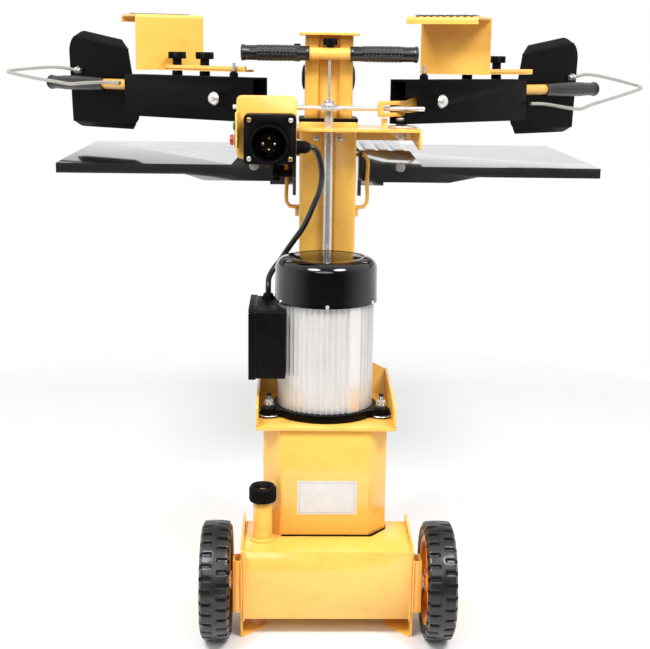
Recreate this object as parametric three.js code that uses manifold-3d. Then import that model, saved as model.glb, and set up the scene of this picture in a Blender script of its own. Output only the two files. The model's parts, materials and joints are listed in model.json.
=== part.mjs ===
// Upright electric log splitter with two-hand control, ram lowered. Millimetres, +Z up.
// +Y is the log side with the wedge and the table, -Y is the operator's side with the motor.
// The origin is on the floor under the axis of the square column.
import * as THREE from 'three';
import { mergeVertices } from 'three/addons/utils/BufferGeometryUtils.js';
import Module from 'manifold-3d';

const wasm = await Module();
wasm.setup();

// ---------------------------------------------------------------- driving dimensions
const GAP = 0.3;                // clearance between neighbouring pieces
const SHEET = 4;                // plate thickness of the welded parts

const COLUMN_HALF = 50;         // fixed column, half its outer width
const COLUMN_WALL = 4;
const COLUMN_TOP = 832;
const RAM_HALF = 42;            // moving column, half its outer width
const RAM_BOTTOM = 232;
const RAM_TOP = 981;

const TUBE_Y = -62;             // axis of the valve tube, stroke rod, rocker bar and handlebar
const TUBE_RADIUS = 8;

const BASE_PLATE = { half: 105, rear: -196, front: 250, thick: 6 };
const TANK = { half: 140, rear: -340, step: -200, neckHalf: 104, bottom: 31, top: 149, wall: 3 };
const FRONT_OF_PEDESTAL = -(COLUMN_HALF + GAP);
const PEDESTAL = { half: 105, rearHalf: 75, rear: -270, chamfer: -235, top: 336.7, wall: 3 };
const TRAY = { half: 117, rear: -276, bottom: 337, floor: 5, rearHeight: 40, frontHeight: 52 };
const FILLER = { x: -108, y: -283, radius: 16, bore: 12.5, top: 226 };

const UNIT_X = -3.5;            // pedestal, tray, motor and pump sit a little left of the column
const MOTOR_Y = -166;           // motor axis
const MOTOR = { radius: 82.3, valley: 77.5, fins: 58, bottom: 356.3, top: 545, bore: 47 };
const MOTOR_LUGS = [[96, -41], [-96, -41], [60, 66], [-60, 66]];  // studs, from the motor axis
const FAN_COVER = { radius: 87.5, wall: 2, bottom: 538, top: 614, grille: 63 };
const TERMINAL = { left: -134, seam: -122, right: -72, half: 70, bottom: 414, top: 531 };

const WHEEL = { y: -336, z: 99, radius: 97.5, rim: 73, x: 182, width: 48, axle: 8 };

const ARM_PLATE = { half: 158, rear: -117, front: 22, bottom: 819, top: 824, skirt: 30 };
const PIVOT = { x: 128, y: -50 };           // vertical bolt of each control arm
const ARM_ANGLE = THREE.MathUtils.degToRad(38);
const HOUSING = { inner: -9, outer: 300, half: 21, bottom: 831, top: 907, wall: 4 };
const LEVER_PIN = { s: 78, z: 869, radius: 5 };
const LEVER = { z: 887, radius: 10, start: 92, end: 519 };
const GRIP_START = 374;
const ROCKER = { z: 857, half: 167, radius: 4.25, boss: 19 };
const CLAW = {
  base: 916, top: 1015, width: 132, flange: 70, turn: 165,
  knobs: { left: [118, 185], right: [93, 170] },
};

const HANDLE = { z: 949.5, half: 150, radius: 10.3, centre: 35, grip: 13 };
const PISTON_PIN_Z = 908;

const TABLE = { left: -489, right: 499, flare: 14, rear: 6, front: 575, top: 751, edge: 18, sheet: 4 };
const TABLE_RISE = { foot: 173.5, shoulder: 150, top: 778 };
const HOOK = { x: 72.5, radius: 4, top: 772, height: 95, step: 250 };

const SWITCH = { left: -144, right: -57, rear: -180, front: -121.3, bottom: 768, top: 850 };
const INLET = { x: -102, z: 801, radius: 32.6, bore: 28 };
const GLAND = { y: -150, z: 795, end: -33 };
const CABLE_RADIUS = 5;

// ---------------------------------------------------------------- colours and finishes
const FINISHES = {
  yellowPaint: { color: 0xf0a01c, roughness: 0.35, metalness: 0.1 },
  blackPaint: { color: 0x101010, roughness: 0.25, metalness: 0.1 },
  blackPlastic: { color: 0x17171a, roughness: 0.6, metalness: 0 },
  glossBlack: { color: 0x050505, roughness: 0.12, metalness: 0 },
  rubber: { color: 0x1b1b1b, roughness: 0.85, metalness: 0 },
  aluminium: { color: 0xbfc2c4, roughness: 0.4, metalness: 0.9 },
  galvanised: { color: 0xc2c4c3, roughness: 0.35, metalness: 0.9 },
  steel: { color: 0x8d9094, roughness: 0.3, metalness: 1 },
  greenPlastic: { color: 0x1f9d4a, roughness: 0.4, metalness: 0 },
  redPlastic: { color: 0xc8202a, roughness: 0.4, metalness: 0 },
};

const machine = new THREE.Group();

function add(name, shape, finish, parent = machine) {
  const geometry = shape.isBufferGeometry ? shape : toGeometry(shape);
  const mesh = new THREE.Mesh(geometry, new THREE.MeshStandardMaterial(FINISHES[finish]));
  mesh.name = name;
  parent.add(mesh);
  return mesh;
}

// ---------------------------------------------------------------- solids: join and cut
function toSolid(geometry) {
  const bare = geometry.clone();
  bare.deleteAttribute('normal');
  bare.deleteAttribute('uv');
  const merged = mergeVertices(bare, 1e-4);
  return new wasm.Manifold(new wasm.Mesh({
    numProp: 3,
    vertProperties: Float32Array.from(merged.attributes.position.array),
    triVerts: Uint32Array.from(merged.index.array),
  }));
}

function toGeometry(solid) {
  const mesh = solid.getMesh();
  const geometry = new THREE.BufferGeometry();
  geometry.setAttribute('position', new THREE.BufferAttribute(mesh.vertProperties.slice(), 3));
  geometry.setIndex(new THREE.BufferAttribute(mesh.triVerts.slice(), 1));
  geometry.computeVertexNormals();
  return geometry;
}

function join(...solids) {
  return solids.reduce((whole, solid) => whole.add(solid));
}

function cut(body, ...tools) {
  return tools.reduce((rest, tool) => rest.subtract(tool), body);
}

// ---------------------------------------------------------------- basic shapes
function box(x0, x1, y0, y1, z0, z1) {
  const geometry = new THREE.BoxGeometry(x1 - x0, y1 - y0, z1 - z0);
  geometry.translate((x0 + x1) / 2, (y0 + y1) / 2, (z0 + z1) / 2);
  return toSolid(geometry);
}

// A cylinder along x, y or z from start to end; u and v are its centre on the other two axes.
function cylinder(axis, radius, start, end, u, v, segments = 20, endRadius = radius) {
  const geometry = new THREE.CylinderGeometry(endRadius, radius, end - start, segments);
  if (axis === 'x') geometry.rotateZ(-Math.PI / 2).translate((start + end) / 2, u, v);
  if (axis === 'y') geometry.translate(u, (start + end) / 2, v);
  if (axis === 'z') geometry.rotateX(Math.PI / 2).translate(u, v, (start + end) / 2);
  return toSolid(geometry);
}

// An outline of [a, b, corner radius] points, each corner with a radius rounded.
function outline(points) {
  const shape = new THREE.Shape();
  points.forEach(([a, b, radius = 0], index) => {
    const corner = new THREE.Vector2(a, b);
    const before = new THREE.Vector2(...points.at(index - 1).slice(0, 2));
    const after = new THREE.Vector2(...points[(index + 1) % points.length].slice(0, 2));
    const start = before.sub(corner).setLength(radius).add(corner);
    const end = after.sub(corner).setLength(radius).add(corner);
    if (index === 0) shape.moveTo(start.x, start.y);
    else shape.lineTo(start.x, start.y);
    if (radius > 0) shape.quadraticCurveTo(a, b, end.x, end.y);
  });
  shape.closePath();
  return shape;
}

function rectangle(a, b, radius = 0, a0 = -a, b0 = -b) {
  return [[a0, b0, radius], [a, b0, radius], [a, b, radius], [a0, b, radius]];
}

function extrude(points, depth) {
  const options = { depth, bevelEnabled: false, curveSegments: 3 };
  return new THREE.ExtrudeGeometry(outline(points), options);
}

// Outlines in (x, y), (y, z) and (x, z), given a thickness along the third axis.
function plateZ(points, z0, z1) {
  return toSolid(extrude(points, z1 - z0).translate(0, 0, z0));
}

function plateX(points, x0, x1) {
  const turn = new THREE.Matrix4().makeBasis(
    new THREE.Vector3(0, 1, 0), new THREE.Vector3(0, 0, 1), new THREE.Vector3(1, 0, 0));
  return toSolid(extrude(points, x1 - x0).applyMatrix4(turn).translate(x0, 0, 0));
}

function plateY(points, y0, y1) {
  const turn = new THREE.Matrix4().makeBasis(
    new THREE.Vector3(1, 0, 0), new THREE.Vector3(0, 0, 1), new THREE.Vector3(0, -1, 0));
  return toSolid(extrude(points, y1 - y0).applyMatrix4(turn).translate(0, y1, 0));
}

// A turned part about a vertical axis at (x, y); the profile is a list of [radius, z].
function turned(profile, x = 0, y = 0, segments = 32) {
  const points = profile.map(([radius, z]) => new THREE.Vector2(radius, z));
  const geometry = new THREE.LatheGeometry(points, segments);
  return toSolid(geometry.rotateX(Math.PI / 2).translate(x, y, 0));
}

// The same about an axis along x at (y, z); the profile is a list of [radius, x].
function turnedX(profile, y, z, segments = 20) {
  const points = profile.map(([radius, x]) => new THREE.Vector2(radius, x));
  const geometry = new THREE.LatheGeometry(points, segments);
  return toSolid(geometry.rotateZ(-Math.PI / 2).translate(0, y, z));
}

function bentRod(points, radius, sides = 8, steps = 20) {
  const curve = new THREE.CatmullRomCurve3(points.map((p) => new THREE.Vector3(...p)), false, 'centripetal');
  const section = new THREE.Shape();
  for (let side = 0; side < sides; side += 1) {
    const angle = (2 * Math.PI * side) / sides;
    const place = [radius * Math.cos(angle), radius * Math.sin(angle)];
    if (side === 0) section.moveTo(...place);
    else section.lineTo(...place);
  }
  section.closePath();
  return new THREE.ExtrudeGeometry(section, { steps, bevelEnabled: false, extrudePath: curve });
}

// A five-lobed hand knob about a vertical axis.
function starKnob(x, y, z0, z1, radius) {
  const lobes = 5;
  let knob = cylinder('z', radius * 0.78, z0, z1, x, y, 15);
  for (let lobe = 0; lobe < lobes; lobe += 1) {
    const angle = (2 * Math.PI * lobe) / lobes;
    const reach = radius * 0.66;
    const lobeX = x + reach * Math.cos(angle);
    const lobeY = y + reach * Math.sin(angle);
    knob = knob.add(cylinder('z', radius * 0.34, z0, z1, lobeX, lobeY, 8));
  }
  return knob;
}

// The same about an axis along x.
function starKnobX(x0, x1, y, z, radius) {
  return starKnob(0, 0, x0, x1, radius).rotate([0, 90, 0]).translate([0, y, z]);
}

// ---------------------------------------------------------------- base, tank and wheels
function buildBase() {
  const foot = rectangle(BASE_PLATE.half, BASE_PLATE.front, 12, -BASE_PLATE.half, BASE_PLATE.rear);
  add('base_plate', plateZ(foot, 0, BASE_PLATE.thick), 'yellowPaint');

  const { half, rear, step, neckHalf, bottom, top, wall } = TANK;
  const shell = join(
    box(-half, half, rear, step, bottom, top),
    box(-neckHalf, neckHalf, step - 1, FRONT_OF_PEDESTAL, bottom, top),
    box(half - 1, half + 3, rear - 3, step + SHEET, 60, 100),
    box(-half - 3, 1 - half, rear - 3, step + SHEET, 60, 100));
  const inside = join(
    box(wall - half, half - wall, rear + wall, step - wall, bottom + wall, top - wall),
    box(wall - neckHalf, neckHalf - wall, step - wall - 1, FRONT_OF_PEDESTAL - wall,
      bottom + wall, top - wall));
  const filler = cylinder('z', FILLER.radius, top - 1, FILLER.top, FILLER.x, FILLER.y, 24);
  const weld = cylinder('z', FILLER.radius + 3, top - 0.5, top + 3, FILLER.x, FILLER.y, 24, FILLER.radius);
  const fillerBore = cylinder('z', FILLER.bore, top - 9, FILLER.top + 1, FILLER.x, FILLER.y, 24);

  // Each side plate stands proud of the tank and ends in a foot flange turned inwards.
  const sideOutline = [
    [rear - 3, 0], [step + SHEET, 0], [step + SHEET, 162, 2], [step - 10, 164], [rear - 3, top + 3, 5],
  ];
  const sidePlates = [-1, 1].map((side) => {
    const inner = side > 0 ? half - 1 : -half - 3;
    const footOutline = [
      [side * (half + 3), rear - 3], [side * (half + 3), step + SHEET],
      [side * (half - 37), step + SHEET], [side * (half - 37), rear + 35], [side * (half - 2), rear - 3],
    ];
    if (side > 0) footOutline.reverse();
    const outside = side * (half + 3);
    const reach = side * 12;
    const bracket = cut(
      box(Math.min(outside - side, outside + reach), Math.max(outside - side, outside + reach),
        WHEEL.y - 16, WHEEL.y + 16, 48, 138),
      box(Math.min(outside, outside + reach - side * 3), Math.max(outside, outside + reach - side * 3),
        WHEEL.y - 13, WHEEL.y + 13, 47, 139));
    const axleEnds = [side * (half - 1), side * (WHEEL.x + 22)];
    const axle = cylinder('x', WHEEL.axle, Math.min(...axleEnds), Math.max(...axleEnds), WHEEL.y, WHEEL.z);
    return join(plateX(sideOutline, inner, inner + SHEET), plateZ(footOutline, 0, SHEET), bracket, axle);
  });
  const tank = cut(join(shell, filler, weld, ...sidePlates), inside, fillerBore);
  add('tank', tank, 'yellowPaint');

  const cap = cut(
    join(cylinder('z', 23, FILLER.top - 8, FILLER.top + 19, FILLER.x, FILLER.y, 30)),
    cylinder('z', FILLER.radius + GAP, FILLER.top - 9, FILLER.top + GAP, FILLER.x, FILLER.y, 24),
    cylinder('z', 12, FILLER.top + 10, FILLER.top + 20, FILLER.x, FILLER.y, 24, 18));
  add('filler_cap', cap, 'blackPlastic');
}

function buildWheel(name, side) {
  const middle = side * WHEEL.x;
  const halfWidth = WHEEL.width / 2;
  const tyre = turnedX([
    [WHEEL.rim + GAP, middle - halfWidth + 5], [WHEEL.radius - 6, middle - halfWidth],
    [WHEEL.radius, middle - halfWidth + 5], [WHEEL.radius, middle + halfWidth - 5],
    [WHEEL.radius - 6, middle + halfWidth], [WHEEL.rim + GAP, middle + halfWidth - 5],
    [WHEEL.rim + GAP, middle - halfWidth + 5],
  ], WHEEL.y, WHEEL.z, 40);
  add(`tyre_${name}`, tyre, 'rubber');

  const bore = WHEEL.axle + GAP;
  const rim = turnedX([
    [bore, middle - halfWidth + 2], [18, middle - halfWidth + 2], [18, middle - 6], [60, middle - 6],
    [66, middle - halfWidth + 5], [WHEEL.rim, middle - halfWidth + 5], [WHEEL.rim, middle + halfWidth - 5],
    [66, middle + halfWidth - 5], [60, middle + 6], [18, middle + 6], [18, middle + halfWidth - 4],
    [bore, middle + halfWidth - 4], [bore, middle - halfWidth + 2],
  ], WHEEL.y, WHEEL.z, 28);
  add(`rim_${name}`, rim, 'yellowPaint');
}

// ---------------------------------------------------------------- pedestal, tray, pump and motor
function buildPowerUnit() {
  const unit = new THREE.Group();
  unit.position.x = UNIT_X;
  machine.add(unit);
  const { half, rearHalf, rear, chamfer, top, wall } = PEDESTAL;
  const ring = (inset, front) => [
    [-rearHalf + inset / 2, rear + inset, 4], [rearHalf - inset / 2, rear + inset, 4],
    [half - inset, chamfer, 4], [half - inset, front], [inset - half, front], [inset - half, chamfer, 4],
  ];
  const pedestal = cut(
    plateZ(ring(0, FRONT_OF_PEDESTAL), TANK.top + GAP, top),
    plateZ(ring(wall, FRONT_OF_PEDESTAL - wall), TANK.top - 1, top + 1));
  add('pedestal', pedestal, 'yellowPaint', unit);

  const trayFloor = TRAY.bottom + TRAY.floor;
  const sideOutline = [
    [TRAY.rear + 3, TRAY.bottom + 6, 4], [FRONT_OF_PEDESTAL, TRAY.bottom],
    [FRONT_OF_PEDESTAL, TRAY.bottom + TRAY.frontHeight], [TRAY.rear + 8, TRAY.bottom + TRAY.rearHeight, 5],
  ];
  const frontOutline = [
    [-TRAY.half, TRAY.bottom], [TRAY.half, TRAY.bottom], [TRAY.half, TRAY.bottom + 49],
    [91, TRAY.bottom + 62], [-91, TRAY.bottom + 62], [-TRAY.half, TRAY.bottom + 49],
  ];
  const floor = rectangle(TRAY.half, FRONT_OF_PEDESTAL, 0, -TRAY.half, TRAY.rear);
  const tray = cut(
    join(
      plateZ(floor, TRAY.bottom, trayFloor),
      plateX(sideOutline, TRAY.half - SHEET, TRAY.half),
      plateX(sideOutline, -TRAY.half, SHEET - TRAY.half),
      plateY(frontOutline, FRONT_OF_PEDESTAL - 3, FRONT_OF_PEDESTAL)),
    cylinder('z', 46, TRAY.bottom - 1, trayFloor + 1, 0, MOTOR_Y, 32),
    cylinder('z', TUBE_RADIUS + 0.7, TRAY.bottom - 1, trayFloor + 1, -UNIT_X, TUBE_Y, 20));
  add('motor_tray', tray, 'yellowPaint', unit);

  // Cast foot of the motor on four rubber mounts, each held by a stud and nut.
  const lugs = MOTOR_LUGS.map(([x, offset]) => {
    const y = MOTOR_Y + offset;
    const armEnds = [Math.sign(x) * 40, x];
    const arm = box(Math.min(...armEnds), Math.max(...armEnds), y - 13, y + 13, 348, 356);
    return join(
      arm,
      cylinder('z', 15, 348, 357, x, y, 16),
      cylinder('z', 16.5, trayFloor + GAP, 349.5, x, y, 16),
      cylinder('z', 4, 356, 382, x, y, 8),
      cylinder('z', 7.4, 356.5, 366, x, y, 6));
  });
  const ringTop = MOTOR.bottom - GAP;
  const foot = cut(
    join(cylinder('z', 90, trayFloor + 1.5, ringTop, 0, MOTOR_Y, 36), ...lugs),
    cylinder('z', MOTOR.radius + GAP, ringTop, ringTop + 30, 0, MOTOR_Y, 48),
    cylinder('z', 13, 340, ringTop + 1, 0, MOTOR_Y, 24));
  add('motor_foot', foot, 'blackPaint', unit);

  const finPoints = [];
  for (let fin = 0; fin < MOTOR.fins; fin += 1) {
    const steps = [[0, MOTOR.radius], [0.38, MOTOR.radius], [0.55, MOTOR.valley], [0.83, MOTOR.valley]];
    steps.forEach(([part, radius]) => {
      const angle = (2 * Math.PI * (fin + part)) / MOTOR.fins;
      finPoints.push([radius * Math.cos(angle), MOTOR_Y + radius * Math.sin(angle)]);
    });
  }
  const stator = cut(
    plateZ(finPoints, MOTOR.bottom, MOTOR.top),
    cylinder('z', MOTOR.bore, MOTOR.bottom - 1, MOTOR.top - 6, 0, MOTOR_Y, 36),
    cylinder('z', 13, MOTOR.top - 7, MOTOR.top + 1, 0, MOTOR_Y, 24));
  add('motor_body', stator, 'aluminium', unit);

  const c = FAN_COVER;
  const inner = c.radius - c.wall;
  let cover = turned([
    [inner, c.bottom], [c.radius, c.bottom], [c.radius, c.top - 13], [c.radius - 1.5, c.top - 7],
    [c.radius - 5.5, c.top - 2], [c.radius - 11.5, c.top], [c.grille, c.top - 1],
    [0, c.top - 1], [0, c.top - 3], [c.grille, c.top - 3], [c.radius - 12, c.top - 2],
    [c.radius - 7, c.top - 4], [inner - 1, c.top - 8], [inner, c.top - 13],
    [inner, c.bottom],
  ], 0, MOTOR_Y, 32);
  const slots = 8;
  for (let slot = 0; slot < slots; slot += 1) {
    const opening = box(22, c.grille - 5, -2.5, 2.5, c.top - 4, c.top);
    cover = cover.subtract(opening.rotate([0, 0, (360 * slot) / slots]).translate([0, MOTOR_Y, 0]));
  }
  add('fan_cover', cover, 'glossBlack', unit);

  // Shaft, rotor core and cooling fan turn together; the lower shaft end drives the pump.
  let rotor = join(
    cylinder('z', 12, 296, 594, 0, MOTOR_Y, 24),
    cylinder('z', MOTOR.bore - 2, 385, 515, 0, MOTOR_Y, 32),
    cylinder('z', 68, 556, 560, 0, MOTOR_Y, 32));
  const blades = 6;
  for (let blade = 0; blade < blades; blade += 1) {
    const wing = box(10, 66, -1.5, 1.5, 559, 588).rotate([0, 0, (360 * blade) / blades]);
    rotor = rotor.add(wing.translate([0, MOTOR_Y, 0]));
  }
  add('rotor', rotor, 'steel', unit);

  const pump = cut(
    join(box(-42, 42, MOTOR_Y - 42, MOTOR_Y + 42, 205, 318), cylinder('z', 50, 317, 336.7, 0, MOTOR_Y, 32)),
    cylinder('z', 12 + GAP, 292, 338, 0, MOTOR_Y, 24));
  add('gear_pump', pump, 'aluminium', unit);

  const block = cut(
    box(-32, 32, -112, FRONT_OF_PEDESTAL - 4, 165, 275),
    cylinder('z', 5 + GAP, 160, 280, 0, TUBE_Y, 16));
  add('valve_block', block, 'steel');
}

function buildTerminalBox() {
  const t = TERMINAL;
  const body = rectangle(MOTOR_Y + t.half, t.top, 6, MOTOR_Y - t.half, t.bottom);
  const room = rectangle(MOTOR_Y + t.half - 4, t.top - 4, 4, MOTOR_Y - t.half + 4, t.bottom + 4);
  const gland = cylinder('z', 9, t.top - 2, t.top + 9, -103, -128, 12);
  const enclosure = cut(
    join(plateX(body, t.seam, t.right), gland),
    plateX(room, t.seam - 1, -88),
    cylinder('z', MOTOR.radius + GAP, t.bottom - 1, t.top + 1, UNIT_X, MOTOR_Y, 48));
  add('terminal_box', enclosure, 'blackPlastic');
  const lid = rectangle(MOTOR_Y + t.half + 2, t.top + 2, 8, MOTOR_Y - t.half - 2, t.bottom - 2);
  add('terminal_lid', plateX(lid, t.left, t.seam - GAP), 'blackPlastic');
}

// ---------------------------------------------------------------- column, ram and hydraulics
// Square tube with a groove down the middle of its rear face.
function groovedSquare(half, radius, grooveHalf, grooveDepth) {
  return [
    [-half, -half, radius], [-grooveHalf, -half], [-grooveHalf + 3, grooveDepth - half],
    [grooveHalf - 3, grooveDepth - half], [grooveHalf, -half], [half, -half, radius],
    [half, half, radius], [-half, half, radius],
  ];
}

function buildColumn() {
  const wall = COLUMN_WALL;
  const bottom = BASE_PLATE.thick + GAP;
  const outer = plateZ(groovedSquare(COLUMN_HALF, 6, 13, 6), bottom, COLUMN_TOP);
  const band = plateZ(rectangle(COLUMN_HALF + 1.5, COLUMN_HALF + 1.5, 6), COLUMN_TOP - 8, COLUMN_TOP);
  const inner = plateZ(groovedSquare(COLUMN_HALF - wall, 3, 17, 6), bottom - 1, COLUMN_TOP + 1);
  const hooks = [-1, 1].flatMap((side) => [0, 1].map((level) => {
    const top = HOOK.top - level * HOOK.step;
    const low = top - HOOK.height;
    const start = side * (COLUMN_HALF - 2);
    const rod = bentRod([
      [start, 0, top], [side * 60, 0, top], [side * 68, 0, top - 1.5], [side * HOOK.x, 0, top - 8],
      [side * HOOK.x, 0, (top + low) / 2], [side * HOOK.x, 0, low + 8], [side * 68, 0, low + 1.5],
      [side * 60, 0, low], [start, 0, low],
    ], HOOK.radius, 6, 14);
    const lugEnds = [start, side * (COLUMN_HALF + 7)];
    const lug = box(Math.min(...lugEnds), Math.max(...lugEnds), -10, 10, low - 16, low - 3.5);
    return join(toSolid(rod), lug);
  }));
  add('column', cut(join(outer, band, ...hooks), inner), 'yellowPaint');

  const ring = cut(
    plateZ(rectangle(COLUMN_HALF + 2, COLUMN_HALF + 2, 6), COLUMN_TOP + GAP, COLUMN_TOP + 6),
    plateZ(rectangle(RAM_HALF + 0.4, RAM_HALF + 0.4, 5), COLUMN_TOP - 1, COLUMN_TOP + 7));
  add('guide_ring', ring, 'blackPlastic');

  const barrel = cut(
    cylinder('z', 25, bottom + GAP, 610, 0, 0, 32),
    cylinder('z', 20, 30, 592, 0, 0, 32),
    cylinder('z', 12 + GAP, 590, 612, 0, 0, 24));
  add('cylinder_barrel', barrel, 'steel');
}

function buildRam() {
  const wall = 4;
  const pinHole = cylinder('x', 8 + GAP, -50, 50, 0, PISTON_PIN_Z, 20);
  const topPlate = rectangle(52, RAM_HALF + SHEET, 6, -52, TUBE_Y);
  const ram = cut(
    plateZ(groovedSquare(RAM_HALF, 5, 19, 9), RAM_BOTTOM, RAM_TOP),
    plateZ(groovedSquare(RAM_HALF - wall, 3, 23, 9), RAM_BOTTOM - 1, RAM_TOP + 1),
    pinHole);
  add('ram_column', join(ram, plateZ(topPlate, RAM_TOP - 0.5, RAM_TOP + SHEET)), 'yellowPaint');

  const rod = cut(
    join(
      cylinder('z', 20 - GAP, 50, 85, 0, 0, 32),
      cylinder('z', 12, 84, 886, 0, 0, 24),
      box(-20, 20, -16, 16, 885, 930)),
    pinHole);
  add('piston_rod', rod, 'steel');

  const domed = [
    [0, RAM_HALF + GAP], [21.5, RAM_HALF + GAP], [20.5, RAM_HALF + 3], [14, RAM_HALF + 4.8],
    [0, RAM_HALF + 5.6],
  ];
  const mirrored = domed.map(([radius, x]) => [radius, -x]).reverse();
  const pin = join(
    cylinder('x', 8, -RAM_HALF - 1, RAM_HALF + 1, 0, PISTON_PIN_Z, 20),
    turnedX(domed, 0, PISTON_PIN_Z),
    turnedX(mirrored, 0, PISTON_PIN_Z));
  add('piston_pin', pin, 'blackPlastic');

  const blade = plateY([
    [-0.8, 800], [0.8, 800], [14, 850], [14, 955], [-14, 955], [-14, 850],
  ], 56, 225);
  const wedge = cut(
    join(blade, box(-24, 24, RAM_HALF + GAP, 58, 845, 972)),
    plateX([[120, 956], [226, 880], [226, 960]], -20, 20));
  add('wedge', wedge, 'steel');

  const bar = cut(
    join(
      cylinder('x', HANDLE.radius, -HANDLE.half, HANDLE.half, TUBE_Y, HANDLE.z, 24),
      box(-28, 28, TUBE_Y + 3, -RAM_HALF - GAP, HANDLE.z - 7, HANDLE.z + 7)),
    cylinder('z', 3, HANDLE.z - 15, HANDLE.z + 15, 0, TUBE_Y, 12));
  add('handlebar', bar, 'yellowPaint');
  [-1, 1].forEach((side) => {
    const profile = [
      [HANDLE.radius + GAP, 0], [14.5, 0], [14.5, 3], [12.6, 5], [HANDLE.grip, 55], [12.6, 110],
      [14.5, 113], [14.5, 117], [0, 118], [0, 115.6], [HANDLE.radius + GAP, 115.6],
    ].map(([radius, x]) => [radius, side * (HANDLE.centre + GAP + x)]);
    profile.push(profile[0]);
    if (side < 0) profile.reverse();
    add(`handle_grip_${side < 0 ? 'left' : 'right'}`, turnedX(profile, TUBE_Y, HANDLE.z), 'rubber');
  });

  add('stroke_rod', cylinder('z', 2.5, 345, 967, 0, TUBE_Y, 10), 'galvanised');
  const topKnob = cut(
    join(
      starKnob(0, TUBE_Y, HANDLE.z + 14, HANDLE.z + 26, 12.5),
      cylinder('z', 6, HANDLE.z + HANDLE.radius + GAP, HANDLE.z + 15, 0, TUBE_Y, 16)),
    cylinder('z', 2.5 + GAP, HANDLE.z, 968, 0, TUBE_Y, 10));
  add('top_knob', topKnob, 'blackPlastic');
  const sideKnob = join(
    starKnobX(-62, -50, 0, HANDLE.z + 1, 16.5),
    cylinder('x', 5, -51, -RAM_HALF - GAP, 0, HANDLE.z + 1, 12));
  add('side_knob', sideKnob, 'blackPlastic');
}

// ---------------------------------------------------------------- valve tube and rocker bar
function buildValveLinkage() {
  const tube = cut(
    join(
      cylinder('z', 5, 185, 292, 0, TUBE_Y, 16),
      cylinder('z', TUBE_RADIUS, 290, 862.5, 0, TUBE_Y, 20),
      cylinder('z', 15, 862, 865, 0, TUBE_Y, 20, 11),
      cylinder('z', 10.4, 864.8, 870, 0, TUBE_Y, 6)),
    cylinder('z', 4.5, 300, 871, 0, TUBE_Y, 16));
  add('valve_tube', tube, 'galvanised');

  const rocker = cut(
    join(
      cylinder('x', ROCKER.radius, -ROCKER.half, ROCKER.half, TUBE_Y, ROCKER.z, 16),
      cylinder('z', ROCKER.boss, ROCKER.z - 4.5, ROCKER.z + 4.7, 0, TUBE_Y, 28)),
    cylinder('z', TUBE_RADIUS + GAP, ROCKER.z - 6, ROCKER.z + 6, 0, TUBE_Y, 20));
  add('rocker_bar', rocker, 'galvanised');
}

// ---------------------------------------------------------------- arm plate and its pivots
function buildArmPlate() {
  const { half, rear, front, bottom, top, skirt } = ARM_PLATE;
  const clear = COLUMN_HALF + 0.4;
  const skirtOutline = [[rear, bottom - skirt, 6], [front, bottom - skirt + 8], [front, top], [rear, top]];
  const wings = [-1, 1].map((side) => {
    const outer = [side * half, side * (half - SHEET)];
    const inner = [side * clear, side * half];
    const tab = [side * 92, side * 102];
    return join(
      plateX(skirtOutline, Math.min(...outer), Math.max(...outer)),
      box(Math.min(...inner), Math.max(...inner), front - SHEET, front, bottom - 22, top),
      box(Math.min(...tab), Math.max(...tab), PIVOT.y - 10, PIVOT.y - 7, top - 1, 840));
  });
  const plate = cut(
    join(plateZ(rectangle(half, front, 6, -half, rear), bottom, top), ...wings),
    box(-clear, clear, -clear, front + 1, bottom - 40, top + 1),
    cylinder('z', TUBE_RADIUS + 1.2, bottom - 1, top + 1, 0, TUBE_Y, 20),
    ...[-1, 1].map((side) => cylinder('z', 6.3, bottom - 1, top + 1, side * PIVOT.x, PIVOT.y, 20)));
  add('arm_plate', plate, 'yellowPaint');

  [-1, 1].forEach((side) => {
    const x = side * PIVOT.x;
    const pivot = join(
      cylinder('z', 6, 803, 837, x, PIVOT.y, 16),
      cylinder('z', 10.6, 806, bottom - GAP, x, PIVOT.y, 6),
      cylinder('z', 23, top + GAP, top + 3.3, x, PIVOT.y, 24),
      cylinder('z', 10, top + 3, HOUSING.bottom - GAP, x, PIVOT.y, 20),
      cylinder('z', 10, 836.1, 841, x, PIVOT.y, 20));
    add(`arm_pivot_${side < 0 ? 'left' : 'right'}`, pivot, 'galvanised');
  });
}

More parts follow.
